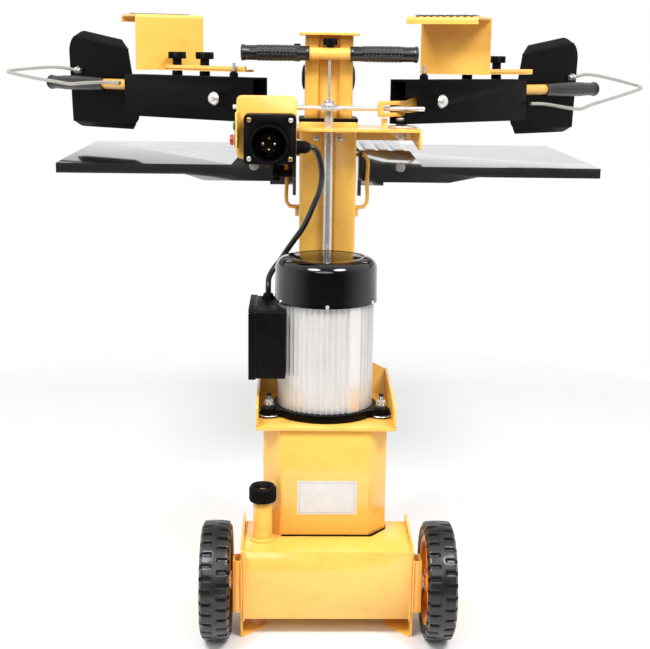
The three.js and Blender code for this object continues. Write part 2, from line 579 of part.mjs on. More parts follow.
// ---------------------------------------------------------------- control arms
// Each arm is built in its own frame: x runs out along the arm from the pivot, n is towards the log.
function buildArm(name, side) {
  const arm = new THREE.Group();
  arm.position.set(side * PIVOT.x, PIVOT.y, 0);
  arm.rotation.z = side > 0 ? ARM_ANGLE : Math.PI - ARM_ANGLE;
  machine.add(arm);
  const turnN = (solid) => (side > 0 ? solid : solid.mirror([0, 1, 0]));
  const { inner, outer, half, bottom, top, wall } = HOUSING;

  const lug = join(
    cylinder('z', half, bottom, bottom + 4.8, 0, 0, 28),
    box(0, 40, -half, half, bottom, bottom + 4.8));
  const housing = cut(
    join(
      box(inner, outer, -half, wall - half, bottom, top),
      box(inner, outer, half - wall, half, bottom, top),
      box(inner, outer, -half, half, top - wall, top),
      lug,
      cylinder('y', LEVER_PIN.radius, -half, half, LEVER_PIN.s, LEVER_PIN.z, 14),
      cylinder('y', 10.5, -half - 3, 1 - half, LEVER_PIN.s, LEVER_PIN.z, 20),
      cylinder('y', 5.5, -half - 6, -half - 2, LEVER_PIN.s, LEVER_PIN.z, 20, 9.5),
      cylinder('z', 7, top - 1, top + 7, 36, 5 - half, 6),
      cylinder('z', 3, top + 6, top + 24, 36, 5 - half, 10)),
    cylinder('z', 6.3, bottom - 1, bottom + 6, 0, 0, 20),
    box(78, 270, -5.5, 5.5, top - wall - 1, top + 1),
    box(inner - 1, 20.5, -half - 1, wall + 1 - half, ROCKER.z - 6.5, ROCKER.z + 19));
  add(`arm_housing_${name}`, turnN(housing), 'blackPaint', arm);

  const plateIn = half + GAP;
  const guardOutline = [
    [286, 840], [286, 896, 6], [318, 955, 8], [345, 972, 8], [470, 987, 8], [484, 976, 8],
    [484, 806, 6], [474, 797, 6], [316, 801, 10], [302, 813, 8], [302, 840],
  ];
  const topFlange = [[345, 972], [345, 969], [468, 983.6], [468, 986.8]];
  const guard = join(
    plateY(guardOutline, plateIn, plateIn + 3),
    plateY(topFlange.reverse(), plateIn, plateIn + 22),
    box(318, 472, plateIn, plateIn + 18, 799, 802));
  add(`hand_guard_${name}`, turnN(guard), 'blackPaint', arm);

  // The bow round the grip, from the housing's outer end to the guard plate.
  const bows = {
    right: [
      [308, -25, 861.7], [343, -26, 861], [400, -42, 853], [430, -45, 851], [470, -39, 858], [540, -29, 868],
      [650, -11, 884], [674, -4, 888], [678, 3, 891], [660, 8, 895], [604, 11, 905], [540, 14, 914],
      [510, 15, 915], [485, 16.5, 911], [468, 17.8, 909],
    ],
    left: [
      [308, -25, 890.4], [343, -26, 891], [395, -41, 888], [422, -44, 886], [465, -39, 889], [540, -28, 894],
      [632, -11, 902], [652, -4, 904], [656, 3, 906], [640, 8, 908], [595, 11, 912], [545, 14, 915],
      [510, 15, 915], [480, 16.5, 912], [460, 17.8, 910],
    ],
  };
  add(`hand_bow_${name}`, turnN(toSolid(bentRod(bows[name], 3.2, 6, 30))), 'galvanised', arm);

  // Hand lever: a slotted fork inside, a tube and a grip outside.
  const pin = LEVER_PIN;
  const forkOutline = [
    [-54, 843.5, 5], [-2, 843.5], [60, 853], [112, 878], [112, 896], [60, 884], [10, 870.5], [-54, 870.5, 5],
  ];
  const slot = rectangle(-6.5, ROCKER.z + 6.3, 5.5, -46, ROCKER.z - 6.3);
  const lever = cut(
    join(
      plateY(forkOutline, -3, 3),
      cylinder('x', LEVER.radius, LEVER.start, LEVER.end, 0, LEVER.z, 24),
      cylinder('y', 12, -8, 8, pin.s, pin.z, 20)),
    plateY(slot, -4, 4),
    cylinder('y', pin.radius + GAP, -9, 9, pin.s, pin.z, 20));
  add(`lever_${name}`, lever, 'yellowPaint', arm);

  const gripProfile = [
    [LEVER.radius + GAP, 0], [14.5, 0], [14.5, 4], [12.2, 7], [13, 70], [12.2, 142], [14.5, 146],
    [14.5, 152], [0, 153], [0, 147], [LEVER.radius + GAP, 147], [LEVER.radius + GAP, 0],
  ].map(([radius, x]) => [radius, GRIP_START + x]);
  add(`lever_grip_${name}`, turnedX(gripProfile, 0, LEVER.z), 'rubber', arm);

  buildClaw(name, side, arm, turnN);
}

// Log claw: a slotted base clamped on the arm by two star knobs, an upright plate, a folded top
// and a toothed blade. The right one sits turned half round on its arm.
function buildClaw(name, side, arm, turnN) {
  const [innerKnob, outerKnob] = CLAW.knobs[name];
  const { base, top, width, flange } = CLAW;
  const place = { s: 214, n: 10.5 };
  const tilt = -66;
  const upright = join(
    box(-width / 2, width / 2, -SHEET, 0, base, top),
    box(-width / 2, width / 2, -SHEET, flange, top - SHEET, top),
    box(-width / 2, width / 2, flange - SHEET, flange, top - 13, top));
  let blade = box(-60, 52, flange - 22, flange - 4, top - 0.5, top + 3);
  const teeth = 7;
  for (let tooth = 0; tooth < teeth; tooth += 1) {
    const at = -59 + tooth * 16;
    blade = blade.add(plateZ([[at, flange - 5], [at + 14, flange - 5], [at + 7, flange + 5]], top, top + 3));
  }
  const head = join(upright, blade).rotate([0, 0, tilt]).translate([place.s, place.n, 0]);
  const strip = join(
    plateZ([[15, -11], [222, -11], [208, 20], [15, 20]], base, base + SHEET),
    box(15, 150, -11, -7.5, base, base + 16));
  const spacer = (s) => cylinder('z', 9, HOUSING.top + 0.4, base + 1, s, 0, 20);
  const stud = (s) => join(
    cylinder('z', 8, HOUSING.top - 7.3, HOUSING.top - 4.3, s, 0, 16),
    cylinder('z', 4, HOUSING.top - 7, 930, s, 0, 14));
  const knob = (s) => join(
    cylinder('z', 8, base + SHEET + GAP, 936, s, 0, 16),
    starKnob(s, 0, 935, 948, 16.5));
  const claw = cut(
    join(head, strip, spacer(innerKnob), spacer(outerKnob)),
    cylinder('z', 4 + GAP, HOUSING.top - 10, base + 10, outerKnob, 0, 14));
  const weldedBase = cylinder('z', 8, base, base + 6, innerKnob, 0, 16);
  const fixedKnob = join(stud(innerKnob), knob(innerKnob), weldedBase);

  const halfTurn = (solid) => solid.rotate([0, 0, 180]).translate([2 * CLAW.turn, 0, 0]);
  const settle = (solid) => turnN(side > 0 ? halfTurn(solid) : solid);
  add(`claw_${name}`, settle(join(claw, fixedKnob)), 'yellowPaint', arm);
  add(`claw_knob_${name}`, settle(join(stud(outerKnob), knob(outerKnob))), 'blackPlastic', arm);
}

// ---------------------------------------------------------------- log table
function buildTable() {
  const { left, right, flare, rear, front, top, edge, sheet } = TABLE;
  const rise = TABLE_RISE;
  const farLeft = left - flare;
  const farRight = right + flare;
  const shoulders = [
    [rise.foot, top], [rise.shoulder, rise.top], [-rise.shoulder, rise.top], [-rise.foot, top],
  ];
  const section = [
    [farLeft, top - sheet], [-rise.foot - 1.5, top - sheet], [-rise.shoulder - 1.5, rise.top - sheet],
    [rise.shoulder + 1.5, rise.top - sheet], [rise.foot + 1.5, top - sheet], [farRight, top - sheet],
    [farRight, top], ...shoulders, [farLeft, top],
  ];
  const apron = [
    [left, top - edge], [-258, top - edge], [-222, 722], [-103, 722], [-103, 716], [-62, 716], [-62, 745],
    [62, 745], [62, 716], [103, 716], [103, 722], [222, 722], [276, top - edge], [right, top - edge],
    [right, top], ...shoulders, [left, top],
  ];
  const frontWall = [
    [farLeft, top - edge], [farRight, top - edge], [farRight, top], ...shoulders, [farLeft, top],
  ];
  const outlineFromAbove = [[left, rear], [right, rear], [farRight, front], [farLeft, front]];
  const leftWall = [[left, rear], [left + sheet, rear], [farLeft + sheet, front], [farLeft, front]];
  const rightWall = [[right - sheet, rear], [right, rear], [farRight, front], [farRight - sheet, front]];
  const notch = box(-56, 56, rear - 1, COLUMN_HALF + 4, 700, 800);
  const hookOutline = [
    [-18, 728, 3], [-18, 781.8, 3], [64, 781.8], [64, 735], [36, 697], [4.7, 697], [4.7, 776.4],
    [-4.7, 776.4], [-4.7, 728],
  ];
  const plates = join(
    plateY(section, rear, front),
    plateY(apron, rear, rear + sheet),
    plateY(frontWall, front - sheet, front),
    plateZ(leftWall, top - edge, top),
    plateZ(rightWall, top - edge, top)).intersect(plateZ(outlineFromAbove, 700, 800));
  const topPiece = join(
    cut(plates, notch),
    plateX(hookOutline, 56, 62),
    plateX(hookOutline, -62, -56));
  add('table_top', topPiece, 'blackPaint');

  const tread = cut(
    box(-rise.shoulder + 1, rise.shoulder - 1, rear, front, rise.top + GAP, rise.top + 3),
    box(-63, 63, rear - 1, 66, rise.top - 1, rise.top + 5));
  add('tread_plate', tread, 'galvanised');

  const knob = join(
    starKnobX(-98, -85, -11.5, 738, 16),
    cylinder('x', 4, -86, -62 - GAP, -11.5, 738, 12));
  add('table_knob', knob, 'blackPlastic');
}

// ---------------------------------------------------------------- switch box and motor lead
function buildSwitch() {
  const s = SWITCH;
  const face = rectangle(-56, 879, 10, -158, 772);
  const bracket = cut(
    join(
      plateY(face, s.front + GAP, s.front + 3.9),
      box(-158, -155, -174, s.front + 1, 792, 852)),
    cylinder('x', 7, -160, -150, -150, 829, 20),
    cylinder('x', 5.5, -160, -150, -150, 806, 20));
  add('switch_bracket', bracket, 'yellowPaint');

  const shell = cut(
    plateY(rectangle(s.right, s.top, 8, s.left, s.bottom), s.rear, s.front),
    cylinder('y', INLET.radius + GAP, s.rear - 1, -132, INLET.x, INLET.z, 28));
  add('switch_box', shell, 'blackPlastic');

  const pins = [0, 90, 180, 270].map((degrees) => {
    const angle = THREE.MathUtils.degToRad(degrees);
    const x = INLET.x + 9.5 * Math.cos(angle);
    const z = INLET.z + 9.5 * Math.sin(angle);
    return cylinder('y', 2.4, -176, -140, x, z, 6);
  });
  const inlet = join(
    cut(
      cylinder('y', INLET.radius, s.rear - 6, -133, INLET.x, INLET.z, 28),
      cylinder('y', INLET.bore, s.rear - 7, -139, INLET.x, INLET.z, 28)),
    cylinder('y', 17, -166, -138, INLET.x, INLET.z, 20),
    box(INLET.x - 3, INLET.x + 3, -166, -138, INLET.z - 20, INLET.z - 15),
    ...pins);
  add('power_inlet', inlet, 'blackPlastic');

  const button = cylinder('x', 6.5, -163, -148, -150, 829, 20);
  add('start_button', button, 'greenPlastic');
  const stop = join(
    cylinder('x', 5, -162, -148, -150, 806, 16),
    cylinder('x', 8.5, -168, -161.5, -150, 806, 20));
  add('stop_button', stop, 'redPlastic');

  const gland = cut(
    join(
      cylinder('x', 12, s.right + GAP, -49, GLAND.y, GLAND.z, 6),
      cylinder('x', 10.5, -49.5, -40, GLAND.y, GLAND.z, 20),
      cylinder('x', 10.5, -40.5, GLAND.end, GLAND.y, GLAND.z, 20, 7)),
    cylinder('x', CABLE_RADIUS + GAP, -44, GLAND.end + 1, GLAND.y, GLAND.z, 16));
  add('cable_gland', gland, 'blackPlastic');

  // The motor lead hangs from the gland and runs past the fan cover into the terminal box.
  const lead = [
    [-42, -150, 795], [-36, -150, 795], [-30, -150, 794.6], [-23, -149, 789], [-17.5, -147, 776],
    [-13.5, -144, 759],
    [-13, -139, 738], [-17, -132, 717], [-26, -123, 694], [-35, -112, 671], [-45, -101, 650],
    [-58, -92, 630], [-70, -87, 612], [-81, -88, 595], [-94, -98, 579], [-102, -114, 566],
    [-103, -126, 555], [-103, -128, 547], [-103, -128, 540.4],
  ];
  add('motor_lead', bentRod(lead, CABLE_RADIUS, 8, 26), 'rubber');
}

buildBase();
buildWheel('left', -1);
buildWheel('right', 1);
buildPowerUnit();
buildTerminalBox();
buildColumn();
buildRam();
buildValveLinkage();
buildArmPlate();
buildArm('left', -1);
buildArm('right', 1);
buildTable();
buildSwitch();

export default machine;
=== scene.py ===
"""Looks of the upright log splitter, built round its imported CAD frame. Metres, +Z up, +Y is the log side."""

import json
import math
import random

import bmesh
import bpy
from mathutils import Matrix, Vector


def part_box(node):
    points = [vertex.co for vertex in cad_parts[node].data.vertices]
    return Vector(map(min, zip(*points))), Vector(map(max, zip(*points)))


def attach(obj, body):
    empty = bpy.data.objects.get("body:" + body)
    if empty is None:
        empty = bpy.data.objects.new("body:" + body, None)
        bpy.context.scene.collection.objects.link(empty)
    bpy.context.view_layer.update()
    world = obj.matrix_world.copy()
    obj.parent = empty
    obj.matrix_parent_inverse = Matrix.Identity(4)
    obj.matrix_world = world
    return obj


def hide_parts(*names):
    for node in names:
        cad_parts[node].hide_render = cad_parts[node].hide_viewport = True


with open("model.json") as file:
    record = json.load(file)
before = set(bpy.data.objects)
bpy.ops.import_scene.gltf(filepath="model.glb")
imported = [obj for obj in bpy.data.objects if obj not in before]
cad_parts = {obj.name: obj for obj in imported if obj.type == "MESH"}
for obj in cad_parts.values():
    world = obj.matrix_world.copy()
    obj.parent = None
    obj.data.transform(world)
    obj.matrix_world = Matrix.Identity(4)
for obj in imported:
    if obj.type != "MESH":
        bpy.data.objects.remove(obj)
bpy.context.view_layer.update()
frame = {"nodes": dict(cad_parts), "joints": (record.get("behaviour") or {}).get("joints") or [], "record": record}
JOINTS = {joint["name"]: joint for joint in frame["joints"]}
SLOT_OF = {part["node"]: part["material_slot"] for part in frame["record"]["subparts"]}
SIDES = {"left": -1, "right": 1}
MM = 0.001


# ---------------------------------------------------------------- camera
def make_camera():
    """A camera behind the operator's side, a little above the levers and looking down on the tank."""
    yaw, pitch, roll = (math.radians(angle) for angle in (1.6, 12.3, 0.8))
    forward = Vector((
        math.sin(yaw) * math.cos(pitch),
        math.cos(yaw) * math.cos(pitch),
        -math.sin(pitch),
    ))
    level = Vector((math.cos(yaw), -math.sin(yaw), 0))
    upright = level.cross(forward)
    right = math.cos(roll) * level + math.sin(roll) * upright
    up = right.cross(forward)
    camera = bpy.data.objects.new("camera", bpy.data.cameras.new("camera"))
    camera.data.lens = 68.95
    camera.data.sensor_width = 36
    camera.data.clip_end = 50
    turn = Matrix((right, up, -forward)).transposed().to_4x4()
    camera.matrix_world = Matrix.Translation((-0.063, -2.2575, 0.95025)) @ turn
    bpy.context.scene.collection.objects.link(camera)
    bpy.context.scene.camera = camera


make_camera()
bpy.context.scene.view_settings.view_transform = "Standard"


# ---------------------------------------------------------------- materials
class Finish:
    """A Principled material whose colour, roughness and bump come from 3-D noise in the part's own space."""

    def __init__(self, name, colour, roughness, metallic=0.0, coat=0.0, coat_roughness=0.1, specular=0.5):
        self.material = bpy.data.materials.new(name)
        self.material.use_nodes = True
        self.nodes = self.material.node_tree.nodes
        self.links = self.material.node_tree.links
        self.shader = self.nodes["Principled BSDF"]
        self.shader.inputs["Base Color"].default_value = (*colour, 1)
        self.shader.inputs["Roughness"].default_value = roughness
        self.shader.inputs["Metallic"].default_value = metallic
        self.shader.inputs["Coat Weight"].default_value = coat
        self.shader.inputs["Coat Roughness"].default_value = coat_roughness
        self.shader.inputs["Specular IOR Level"].default_value = specular
        self.place = self.nodes.new("ShaderNodeTexCoord").outputs["Object"]
        self.normal = None

    def noise(self, scale, detail=3.0, stretch=(1, 1, 1)):
        mapping = self.nodes.new("ShaderNodeMapping")
        mapping.inputs["Scale"].default_value = stretch
        self.links.new(self.place, mapping.inputs["Vector"])
        noise = self.nodes.new("ShaderNodeTexNoise")
        noise.inputs["Scale"].default_value = scale
        noise.inputs["Detail"].default_value = detail
        self.links.new(mapping.outputs["Vector"], noise.inputs["Vector"])
        return noise.outputs["Fac"]

    def cells(self, scale):
        cells = self.nodes.new("ShaderNodeTexVoronoi")
        cells.inputs["Scale"].default_value = scale
        self.links.new(self.place, cells.inputs["Vector"])
        return cells.outputs["Distance"]

    def span(self, value, low, high, start=0.3, end=0.7):
        scaled = self.nodes.new("ShaderNodeMapRange")
        scaled.inputs["From Min"].default_value = start
        scaled.inputs["From Max"].default_value = end
        scaled.inputs["To Min"].default_value = low
        scaled.inputs["To Max"].default_value = high
        self.links.new(value, scaled.inputs["Value"])
        return scaled.outputs["Result"]

    def tint(self, other, value, start=0.3, end=0.7):
        """Mixes the colour so far with another, by a noise."""
        mix = self.nodes.new("ShaderNodeMix")
        mix.data_type = "RGBA"
        base = self.shader.inputs["Base Color"]
        if base.is_linked:
            self.links.new(base.links[0].from_socket, mix.inputs[6])
        else:
            mix.inputs[6].default_value = base.default_value
        mix.inputs[7].default_value = (*other, 1)
        self.links.new(self.span(value, 0, 1, start, end), mix.inputs[0])
        self.links.new(mix.outputs[2], base)
        return self

    def roughen(self, low, high, value):
        self.links.new(self.span(value, low, high), self.shader.inputs["Roughness"])
        return self

    def bump(self, value, depth, strength=1.0):
        """Adds relief; depth is in metres."""
        bump = self.nodes.new("ShaderNodeBump")
        bump.inputs["Distance"].default_value = depth
        bump.inputs["Strength"].default_value = strength
        self.links.new(value, bump.inputs["Height"])
        if self.normal:
            self.links.new(self.normal, bump.inputs["Normal"])
        self.normal = bump.outputs["Normal"]
        self.links.new(self.normal, self.shader.inputs["Normal"])
        return self


def yellow_enamel():
    paint = Finish("yellow_enamel", (0.87, 0.465, 0.08), 0.32, coat=0.5, coat_roughness=0.12)
    paint.tint((0.91, 0.52, 0.10), paint.noise(5, 2))
    paint.tint((0.82, 0.41, 0.055), paint.noise(38, 4), 0.56, 0.8)
    paint.tint((0.55, 0.25, 0.03), paint.noise(420, 2), 0.74, 0.8)
    paint.roughen(0.26, 0.42, paint.noise(22, 3))
    paint.bump(paint.noise(420, 1), 0.00012)
    paint.bump(paint.noise(30, 2), 0.0006, 0.35)
    return paint.material


def rim_enamel():
    paint = Finish("rim_orange", (0.85, 0.29, 0.01), 0.35, coat=0.3, coat_roughness=0.15)
    paint.tint((0.70, 0.22, 0.01), paint.noise(30, 3))
    paint.roughen(0.3, 0.45, paint.noise(50, 3))
    paint.bump(paint.noise(900, 1), 0.0001)
    return paint.material


def black_enamel():
    paint = Finish("black_enamel", (0.0016, 0.0013, 0.0012), 0.34, coat=0.06, coat_roughness=0.15,
                   specular=0.05)
    paint.tint((0.003, 0.0025, 0.0023), paint.noise(9, 3))
    paint.tint((0.008, 0.007, 0.007), paint.noise(260, 2), 0.70, 0.78)
    paint.roughen(0.32, 0.5, paint.noise(30, 4))
    paint.bump(paint.noise(700, 2), 0.00012)
    return paint.material


def table_enamel():
    paint = Finish("table_enamel", (0.003, 0.003, 0.003), 0.2, coat=1.0, coat_roughness=0.09, specular=1.0)
    paint.shader.inputs["Coat IOR"].default_value = 2.2
    paint.tint((0.006, 0.0055, 0.0055), paint.noise(12, 3))
    paint.roughen(0.16, 0.28, paint.noise(14, 4))
    paint.bump(paint.noise(6, 2), 0.0008, 0.1)
    return paint.material


def cover_enamel():
    paint = Finish("cover_enamel", (0.001, 0.001, 0.001), 0.12, coat=1.0, coat_roughness=0.07, specular=0.1)
    paint.tint((0.0025, 0.0025, 0.0025), paint.noise(20, 2))
    paint.roughen(0.06, 0.14, paint.noise(25, 3))
    paint.bump(paint.noise(120, 1), 0.0001, 0.4)
    return paint.material


def moulded_plastic():
    plastic = Finish("moulded_plastic", (0.002, 0.0018, 0.0017), 0.34, specular=0.09)
    plastic.tint((0.004, 0.0035, 0.0035), plastic.noise(40, 3))
    plastic.roughen(0.36, 0.55, plastic.noise(60, 3))
    plastic.bump(plastic.cells(1700), 0.00008)
    return plastic.material


def grip_rubber():
    rubber = Finish("grip_rubber", (0.002, 0.002, 0.0022), 0.28, coat=0.5, coat_roughness=0.12, specular=0.4)
    rubber.tint((0.0045, 0.0045, 0.0045), rubber.noise(70, 3))
    rubber.roughen(0.28, 0.5, rubber.noise(90, 3))
    rubber.bump(rubber.noise(1500, 2), 0.00006)
    return rubber.material


def tyre_rubber():
    rubber = Finish("tyre_rubber", (0.004, 0.004, 0.004), 0.36, coat=0.3, coat_roughness=0.15, specular=0.4)
    rubber.tint((0.012, 0.0115, 0.011), rubber.noise(60, 4), 0.45, 0.75)
    rubber.roughen(0.3, 0.55, rubber.noise(45, 4))
    rubber.bump(rubber.noise(900, 3), 0.00012)
    return rubber.material


def cast_aluminium():
    metal = Finish("cast_aluminium", (0.80, 0.785, 0.77), 0.4, metallic=0.55)
    metal.tint((0.77, 0.755, 0.74), metal.noise(60, 3, (1, 1, 0.06)), 0.45, 0.7)
    metal.tint((0.82, 0.805, 0.79), metal.noise(14, 3))
    metal.roughen(0.32, 0.46, metal.noise(60, 3, (1, 1, 0.08)))
    metal.bump(metal.noise(500, 3), 0.00003)
    return metal.material


def zinc_plate():
    metal = Finish("zinc_plate", (0.78, 0.77, 0.75), 0.3, metallic=0.7)
    metal.tint((0.66, 0.65, 0.63), metal.noise(90, 3), 0.45, 0.75)
    metal.roughen(0.18, 0.32, metal.noise(90, 3))
    metal.bump(metal.noise(600, 2), 0.00002)
    return metal.material


def drawn_wire():
    metal = Finish("drawn_wire", (0.54, 0.52, 0.48), 0.38, metallic=0.85)
    metal.tint((0.46, 0.44, 0.40), metal.noise(70, 3), 0.45, 0.75)
    metal.roughen(0.3, 0.45, metal.noise(90, 3))
    metal.bump(metal.noise(500, 2), 0.00003)
    return metal.material


def bare_steel():
    metal = Finish("bare_steel", (0.42, 0.42, 0.43), 0.3, metallic=1.0)
    metal.tint((0.26, 0.26, 0.27), metal.noise(200, 4, (1, 1, 0.1)))
    metal.roughen(0.2, 0.42, metal.noise(260, 3, (1, 1, 0.08)))
    metal.bump(metal.noise(1200, 2, (1, 1, 0.1)), 0.00005)
    return metal.material


def tread_steel():
    metal = Finish("tread_steel", (0.78, 0.78, 0.78), 0.2, metallic=1.0)
    metal.tint((0.52, 0.52, 0.52), metal.noise(70, 4), 0.4, 0.8)
    metal.roughen(0.14, 0.32, metal.noise(80, 4))
    metal.bump(metal.noise(700, 3), 0.00008)
    return metal.material


def brass():
    metal = Finish("brass", (0.72, 0.50, 0.22), 0.28, metallic=1.0)
    metal.tint((0.50, 0.33, 0.14), metal.noise(300, 3))
    metal.roughen(0.2, 0.4, metal.noise(300, 3))
    return metal.material


def button_plastic(name, colour):
    plastic = Finish(name, colour, 0.32, coat=0.3)
    plastic.tint(tuple(value * 0.7 for value in colour), plastic.noise(90, 3))
    plastic.roughen(0.26, 0.42, plastic.noise(120, 2))
    plastic.bump(plastic.noise(1500, 2), 0.00005)
    return plastic.material


def label_film():
    film = Finish("label_film", (0.62, 0.62, 0.61), 0.28, coat=0.3)
    film.tint((0.57, 0.57, 0.56), film.noise(40, 3))
    film.roughen(0.22, 0.36, film.noise(60, 3))
    film.bump(film.noise(300, 2), 0.00004)
    return film.material


def label_ink():
    ink = Finish("label_ink", (0.05, 0.05, 0.055), 0.4)
    ink.tint((0.09, 0.09, 0.10), ink.noise(500, 2))
    ink.bump(ink.noise(900, 2), 0.00002)
    return ink.material


YELLOW = yellow_enamel()
RIM = rim_enamel()
BLACK = black_enamel()
TABLE = table_enamel()
COVER = cover_enamel()
PLASTIC = moulded_plastic()
GRIP = grip_rubber()
TYRE = tyre_rubber()
ALUMINIUM = cast_aluminium()
ZINC = zinc_plate()
WIRE = drawn_wire()
STEEL = bare_steel()
TREAD = tread_steel()
BRASS = brass()
GREEN = button_plastic("green_plastic", (0.01, 0.33, 0.10))
RED = button_plastic("red_plastic", (0.65, 0.01, 0.015))
LABEL = label_film()
INK = label_ink()

MATERIAL_OF_SLOT = {
    "yellow_paint": YELLOW,
    "black_paint": BLACK,
    "black_plastic": PLASTIC,
    "cover_black": COVER,
    "rubber": GRIP,
    "tyre_rubber": TYRE,
    "aluminium": ALUMINIUM,
    "galvanised": ZINC,
    "steel": STEEL,
    "green_plastic": GREEN,
    "red_plastic": RED,
}
SLOT_OF_MATERIAL = {material: slot for slot, material in MATERIAL_OF_SLOT.items()}
SLOT_OF_MATERIAL[WIRE] = "galvanised"
SLOT_OF_MATERIAL.update({
    RIM: "yellow_paint", TABLE: "black_paint", TREAD: "galvanised", BRASS: "steel",
    LABEL: "galvanised", INK: "black_plastic",
})


# ---------------------------------------------------------------- CAD nodes that stay
CAD_EDGE = 0.5
CAD_WELD = 0.00002


def break_edges(piece, width, least_turn):
    """Bevels the edges that turn by more than an angle in degrees; the width is in millimetres."""
    bevel = piece.modifiers.new("edges", "BEVEL")
    bevel.width = width * MM
    bevel.segments = 2
    bevel.limit_method = "ANGLE"
    bevel.angle_limit = math.radians(least_turn)
    bevel.harden_normals = True


def dress(node, material):
    """A CAD node keeps its shape, with its edges broken and its curves shaded smooth."""
    piece = frame["nodes"][node]
    piece.data.materials.clear()
    piece.data.materials.append(material)
    weld = piece.modifiers.new("weld", "WELD")
    weld.merge_threshold = CAD_WELD
    break_edges(piece, CAD_EDGE, 32)
    for polygon in piece.data.polygons:
        polygon.use_smooth = True


SPECIAL = {"table_top": TABLE, "rim_left": RIM, "rim_right": RIM, "tread_plate": TREAD}
for node in frame["nodes"]:
    dress(node, SPECIAL.get(node, MATERIAL_OF_SLOT[SLOT_OF[node]]))


# ---------------------------------------------------------------- mesh helpers
def piece(name, shape, material, body, edge=0.0, replaces=(), flat=False):
    """Makes an object of (vertices, faces) in the row frame, riding on a body."""
    vertices, faces = shape
    mesh = bpy.data.meshes.new(name)
    mesh.from_pydata([tuple(vertex) for vertex in vertices], [], faces)
    whole = bmesh.new()
    whole.from_mesh(mesh)
    bmesh.ops.remove_doubles(whole, verts=whole.verts, dist=1e-6)
    bmesh.ops.recalc_face_normals(whole, faces=whole.faces)
    whole.to_mesh(mesh)
    whole.free()
    if not flat:
        mesh.shade_smooth()
        mesh.set_sharp_from_angle(angle=math.radians(38))
    made = bpy.data.objects.new(name, mesh)
    made.data.materials.append(material)
    bpy.context.scene.collection.objects.link(made)
    if edge:
        break_edges(made, edge, 35)
    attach(made, body)
    if replaces:
        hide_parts(*replaces)
    return made


def joined(*shapes):
    vertices, faces = [], []
    for some_vertices, some_faces in shapes:
        start = len(vertices)
        vertices += some_vertices
        faces += [tuple(start + index for index in face) for face in some_faces]
    return vertices, faces


def moved(shape, place):
    return [place @ Vector(vertex) for vertex in shape[0]], shape[1]


def facing(point, direction, turn=0.0):
    """A place at a point whose own +Z looks along a direction."""
    rotation = Vector(direction).to_track_quat("Z", "Y").to_matrix().to_4x4()
    return Matrix.Translation(point) @ rotation @ Matrix.Rotation(turn, 4, "Z")


def seated(shape, point, direction, turn=0.0):
    """A shape about +Z, stood on a point and turned to look along a direction."""
    return moved(shape, facing(point, direction, turn))


def corners(low, high, inset):
    """The four corners of a flat rectangle, moved in from its edges."""
    return [(a, b) for b in (low[1] + inset, high[1] - inset) for a in (low[0] + inset, high[0] - inset)]


def skin(rings, caps=True):
    """Quads between closed rings of equal length, with a face over each end ring if it has caps."""
    count = len(rings[0])
    vertices = [vertex for ring in rings for vertex in ring]
    faces = []
    for level in range(len(rings) - 1):
        for index in range(count):
            following = (index + 1) % count
            low, high = level * count, (level + 1) * count
            faces.append((low + index, low + following, high + following, high + index))
    if caps:
        faces.append(tuple(range(count))[::-1])
        faces.append(tuple((len(rings) - 1) * count + index for index in range(count)))
    return vertices, faces


def polar(radius_at, heights, segments):
    """A body about +Z: radius_at(angle, level) in millimetres at each of the heights."""
    rings = []
    for level, height in enumerate(heights):
        ring = []
        for index in range(segments):
            angle = 2 * math.pi * index / segments
            radius = max(radius_at(angle, level), 0.0) * MM
            ring.append(Vector((radius * math.cos(angle), radius * math.sin(angle), height * MM)))
        rings.append(ring)
    return skin(rings, caps=False)


def turned(profile, segments=64):
    """A turned body about +Z from [radius, height] points in millimetres."""
    return polar(lambda angle, level: profile[level][0], [height for _, height in profile], segments)


def rounded(points, steps=6):
    """An outline from [a, b] or [a, b, radius] corners, with each radius as an arc-like curve."""
    outline = []
    for index, corner in enumerate(points):
        here = Vector(corner[:2])
        radius = corner[2] if len(corner) > 2 else 0
        if radius == 0:
            outline.append(here)
            continue
        before = (Vector(points[index - 1][:2]) - here).normalized() * radius + here
        after = (Vector(points[(index + 1) % len(points)][:2]) - here).normalized() * radius + here
        for step in range(steps + 1):
            part = step / steps
            outline.append((1 - part) ** 2 * before + 2 * part * (1 - part) * here + part ** 2 * after)
    return outline


def rectangle(a, b, radius):
    return [[-a, -b, radius], [a, -b, radius], [a, b, radius], [-a, b, radius]]


def prism(outline, start, end, place=Matrix.Identity(4)):
    """An outline in millimetres, in its own x and y, given a thickness along its own z."""
    rings = [[place @ Vector((a * MM, b * MM, height * MM)) for a, b in outline] for height in (start, end)]
    return skin(rings)


def smooth_path(points, steps):
    """A centripetal Catmull-Rom curve through the points, with that many steps to each stretch."""
    points = [Vector(point) for point in points]
    first = 2 * points[0] - points[1]
    last = 2 * points[-1] - points[-2]
    through = [first, *points, last]
    path = [points[0]]
    for p0, p1, p2, p3 in zip(through, through[1:], through[2:], through[3:]):
        t1 = (p1 - p0).length ** 0.5
        t2 = t1 + (p2 - p1).length ** 0.5
        t3 = t2 + (p3 - p2).length ** 0.5
        for step in range(1, steps + 1):
            t = t1 + (t2 - t1) * step / steps
            a1 = p0.lerp(p1, t / t1)
            a2 = p1.lerp(p2, (t - t1) / (t2 - t1))
            a3 = p2.lerp(p3, (t - t2) / (t3 - t2))
            b1 = a1.lerp(a2, t / t2)
            b2 = a2.lerp(a3, (t - t1) / (t3 - t1))
            path.append(b1.lerp(b2, (t - t1) / (t2 - t1)))
    return path


